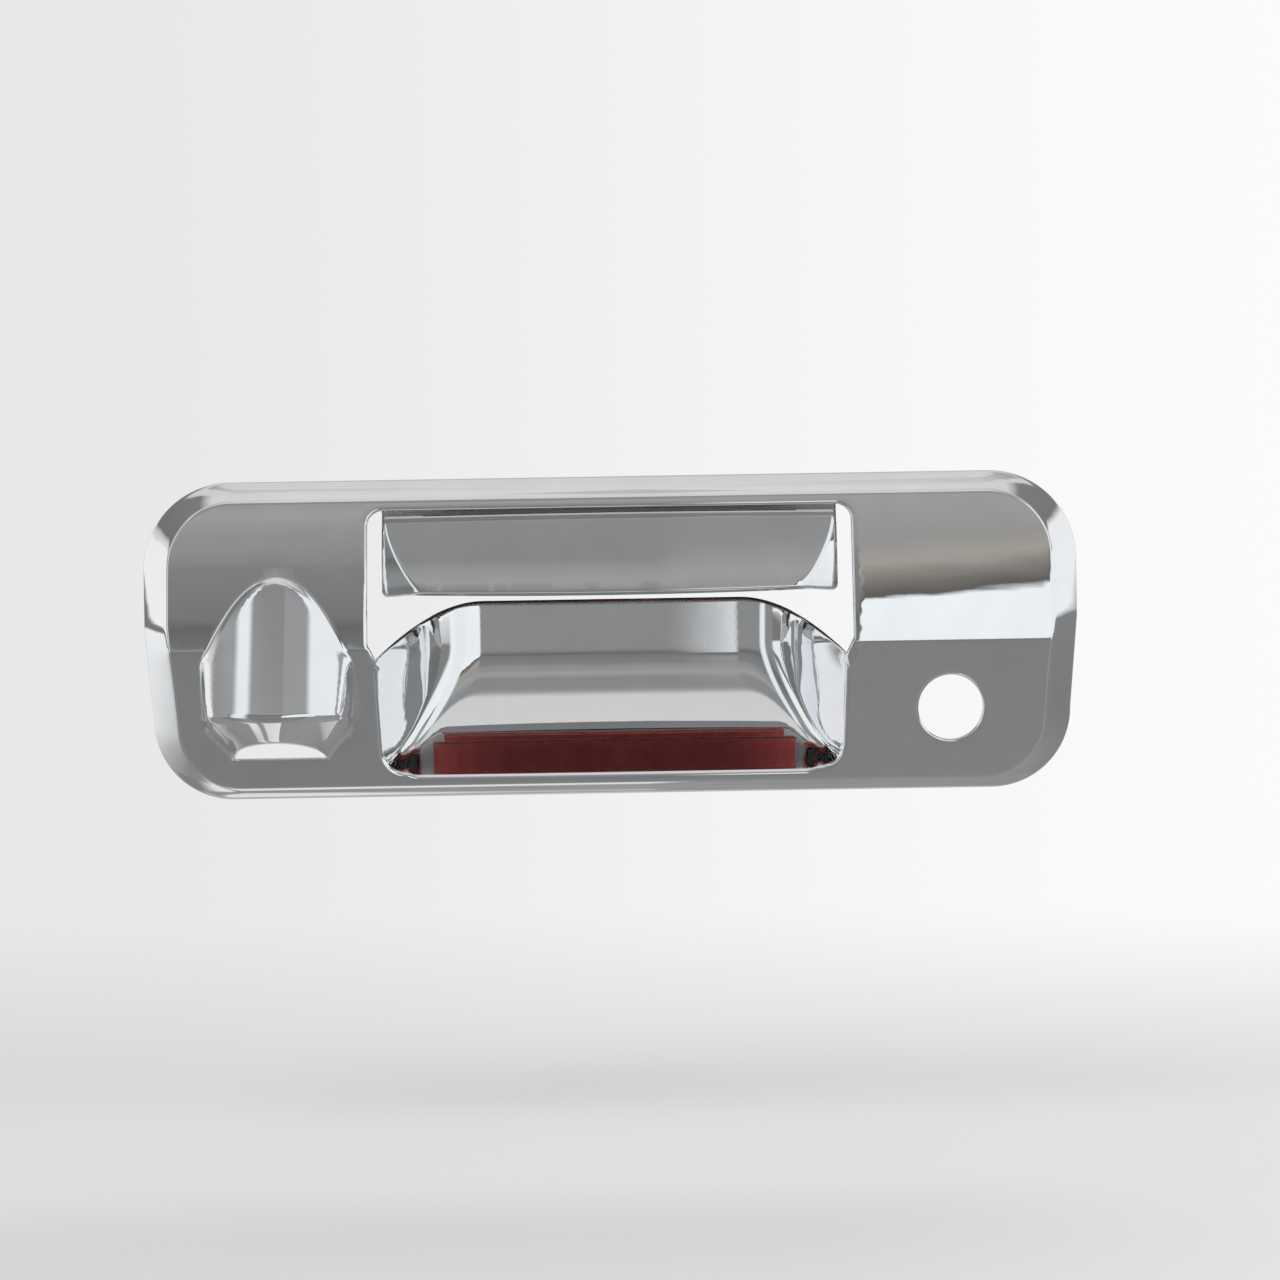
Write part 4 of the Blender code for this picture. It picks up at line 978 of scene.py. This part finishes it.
# The ground, the camera and the lamps, in metres; the lens is in millimetres
GROUND_Z = -0.20
GROUND_HALF = 1.2
GROUND_FADE_START = 0.25
CAMERA_PLACE = (0.0113, -1.2, -0.002)
CAMERA_ROLL = math.radians(0.95)
CAMERA_LENS = 86.4
LAMP_SIZE = 0.9
LAMPS = [
    ("key", (-0.5, -1.0, 1.0), 5.0),
    ("fill", (0.8, -0.8, 0.5), 3.0),
    ("rear", (0.3, 1.0, 0.9), 6.0),
]


def make_world():
    """A studio round the piece: panels by direction, and a pale backdrop for the camera."""
    world = bpy.data.worlds.new("studio")
    bpy.context.scene.world = world
    world.use_nodes = True
    tree = world.node_tree
    background = tree.nodes["Background"]
    place = tree.nodes.new("ShaderNodeTexCoord")
    split = tree.nodes.new("ShaderNodeSeparateXYZ")
    tree.links.new(place.outputs["Generated"], split.inputs["Vector"])
    right, back, up = split.outputs
    ragged = tree.nodes.new("ShaderNodeTexNoise")
    ragged.inputs["Scale"].default_value = RAGGED_GRAIN
    ragged.inputs["Detail"].default_value = 6.0
    tree.links.new(place.outputs["Generated"], ragged.inputs["Vector"])
    rise = calculate(tree, "ARCSINE", up)
    degrees = calculate(tree, "MULTIPLY", rise, 180.0 / math.pi)
    turn = calculate(tree, "ARCTAN2", right, calculate(tree, "MULTIPLY", back, -1.0))
    turn = calculate(tree, "MULTIPLY", turn, 180.0 / math.pi)
    jitter = calculate(
        tree, "MULTIPLY_ADD", ragged.outputs["Fac"], RAGGED_SIZE, -0.5 * RAGGED_SIZE
    )
    lean = calculate(tree, "MULTIPLY_ADD", turn, LEAN_SLOPE, LEAN_MOST)
    lean = calculate(tree, "MINIMUM", calculate(tree, "MAXIMUM", lean, -LEAN_MOST), LEAN_MOST)
    jitter = calculate(tree, "ADD", jitter, lean)
    edge = calculate(tree, "ABSOLUTE", calculate(tree, "SUBTRACT", degrees, RAGGED_HEIGHT))
    near = calculate(tree, "SUBTRACT", 1.0, step_node(tree, edge, *RAGGED_FADE))
    degrees = calculate(tree, "MULTIPLY_ADD", jitter, near, degrees)
    height = calculate(tree, "MULTIPLY_ADD", degrees, 1.0 / 180.0, 0.5)
    to_right = step_node(tree, turn, *RIGHT_HALF)
    front = mixed(tree, to_right, bands(tree, height, FRONT_LEFT), bands(tree, height, FRONT_RIGHT))
    sides = mixed(tree, to_right, bands(tree, height, SIDE_LEFT), bands(tree, height, SIDE_RIGHT))
    room = front
    for start, stop in STREAKS:
        entered = step_node(tree, turn, start - STREAK_SOFT, start + STREAK_SOFT)
        left = step_node(tree, turn, stop - STREAK_SOFT, stop + STREAK_SOFT)
        share = calculate(tree, "SUBTRACT", entered, left)
        room = mixed(tree, share, room, bands(tree, height, STREAK))
    aside = step_node(tree, calculate(tree, "ABSOLUTE", turn), *SIDE_PANELS)
    room = mixed(tree, aside, room, sides)
    behind = step_node(tree, calculate(tree, "ABSOLUTE", turn), *BEHIND)
    room = mixed(tree, behind, room, grey(0.55))
    across = step_node(tree, right, -BACKDROP_SPAN, BACKDROP_SPAN)
    pale = mixed(tree, across, *BACKDROP)
    path = tree.nodes.new("ShaderNodeLightPath")
    seen = mixed(tree, path.outputs["Is Camera Ray"], room, pale)
    tree.links.new(seen, background.inputs["Color"])
    background.inputs["Strength"].default_value = 1.0


def make_light(name, place, energy):
    """One soft lamp aimed at the piece, which lights dull surfaces and leaves no reflection."""
    lamp = bpy.data.lights.new(name, "AREA")
    lamp.shape = "DISK"
    lamp.size = LAMP_SIZE
    lamp.energy = energy
    made = bpy.data.objects.new(name, lamp)
    bpy.context.collection.objects.link(made)
    made.location = place
    aim = -Vector(place)
    made.rotation_euler = aim.to_track_quat("-Z", "Y").to_euler()
    made.visible_glossy = False
    return made


def make_stage():
    """A pale floor that fades out before its edge."""
    bpy.ops.object.select_all(action="DESELECT")
    bpy.ops.mesh.primitive_circle_add(
        vertices=96, radius=GROUND_HALF, fill_type="NGON", location=(0.0, 0.0, GROUND_Z)
    )
    floor = bpy.context.object
    floor.name = "studio_floor"
    settle(floor)
    paint = finish("floor_paint", (0.86, 0.86, 0.87), 0.8)
    tree = paint.node_tree
    shader = tree.nodes["Principled BSDF"]
    spread_value(tree, noise(tree, 8.0), 0.75, 0.85, shader.inputs["Roughness"])
    place = tree.nodes.new("ShaderNodeTexCoord")
    size = tree.nodes.new("ShaderNodeVectorMath")
    size.operation = "LENGTH"
    tree.links.new(place.outputs["Object"], size.inputs[0])
    fade = tree.nodes.new("ShaderNodeMapRange")
    fade.interpolation_type = "SMOOTHSTEP"
    fade.inputs["From Min"].default_value = GROUND_FADE_START
    fade.inputs["From Max"].default_value = 0.95 * GROUND_HALF
    fade.inputs["To Min"].default_value = 1.0
    fade.inputs["To Max"].default_value = 0.0
    tree.links.new(size.outputs["Value"], fade.inputs["Value"])
    tree.links.new(fade.outputs["Result"], shader.inputs["Alpha"])
    floor.data.materials.append(paint)
    floor.visible_glossy = False


def make_camera():
    """The camera in front of the piece, a little right of its middle."""
    lens = bpy.data.cameras.new("camera")
    lens.sensor_width = 36.0
    lens.lens = CAMERA_LENS
    made = bpy.data.objects.new("camera", lens)
    bpy.context.collection.objects.link(made)
    made.location = CAMERA_PLACE
    made.rotation_euler = (math.radians(90.0), CAMERA_ROLL, 0.0)
    bpy.context.scene.camera = made


make_world()
make_stage()
for lamp_name, lamp_place, lamp_energy in LAMPS:
    make_light(lamp_name, lamp_place, lamp_energy)
make_camera()
bpy.context.scene.view_settings.view_transform = "Standard"
dress_nodes()
make_bezel()
make_lever()
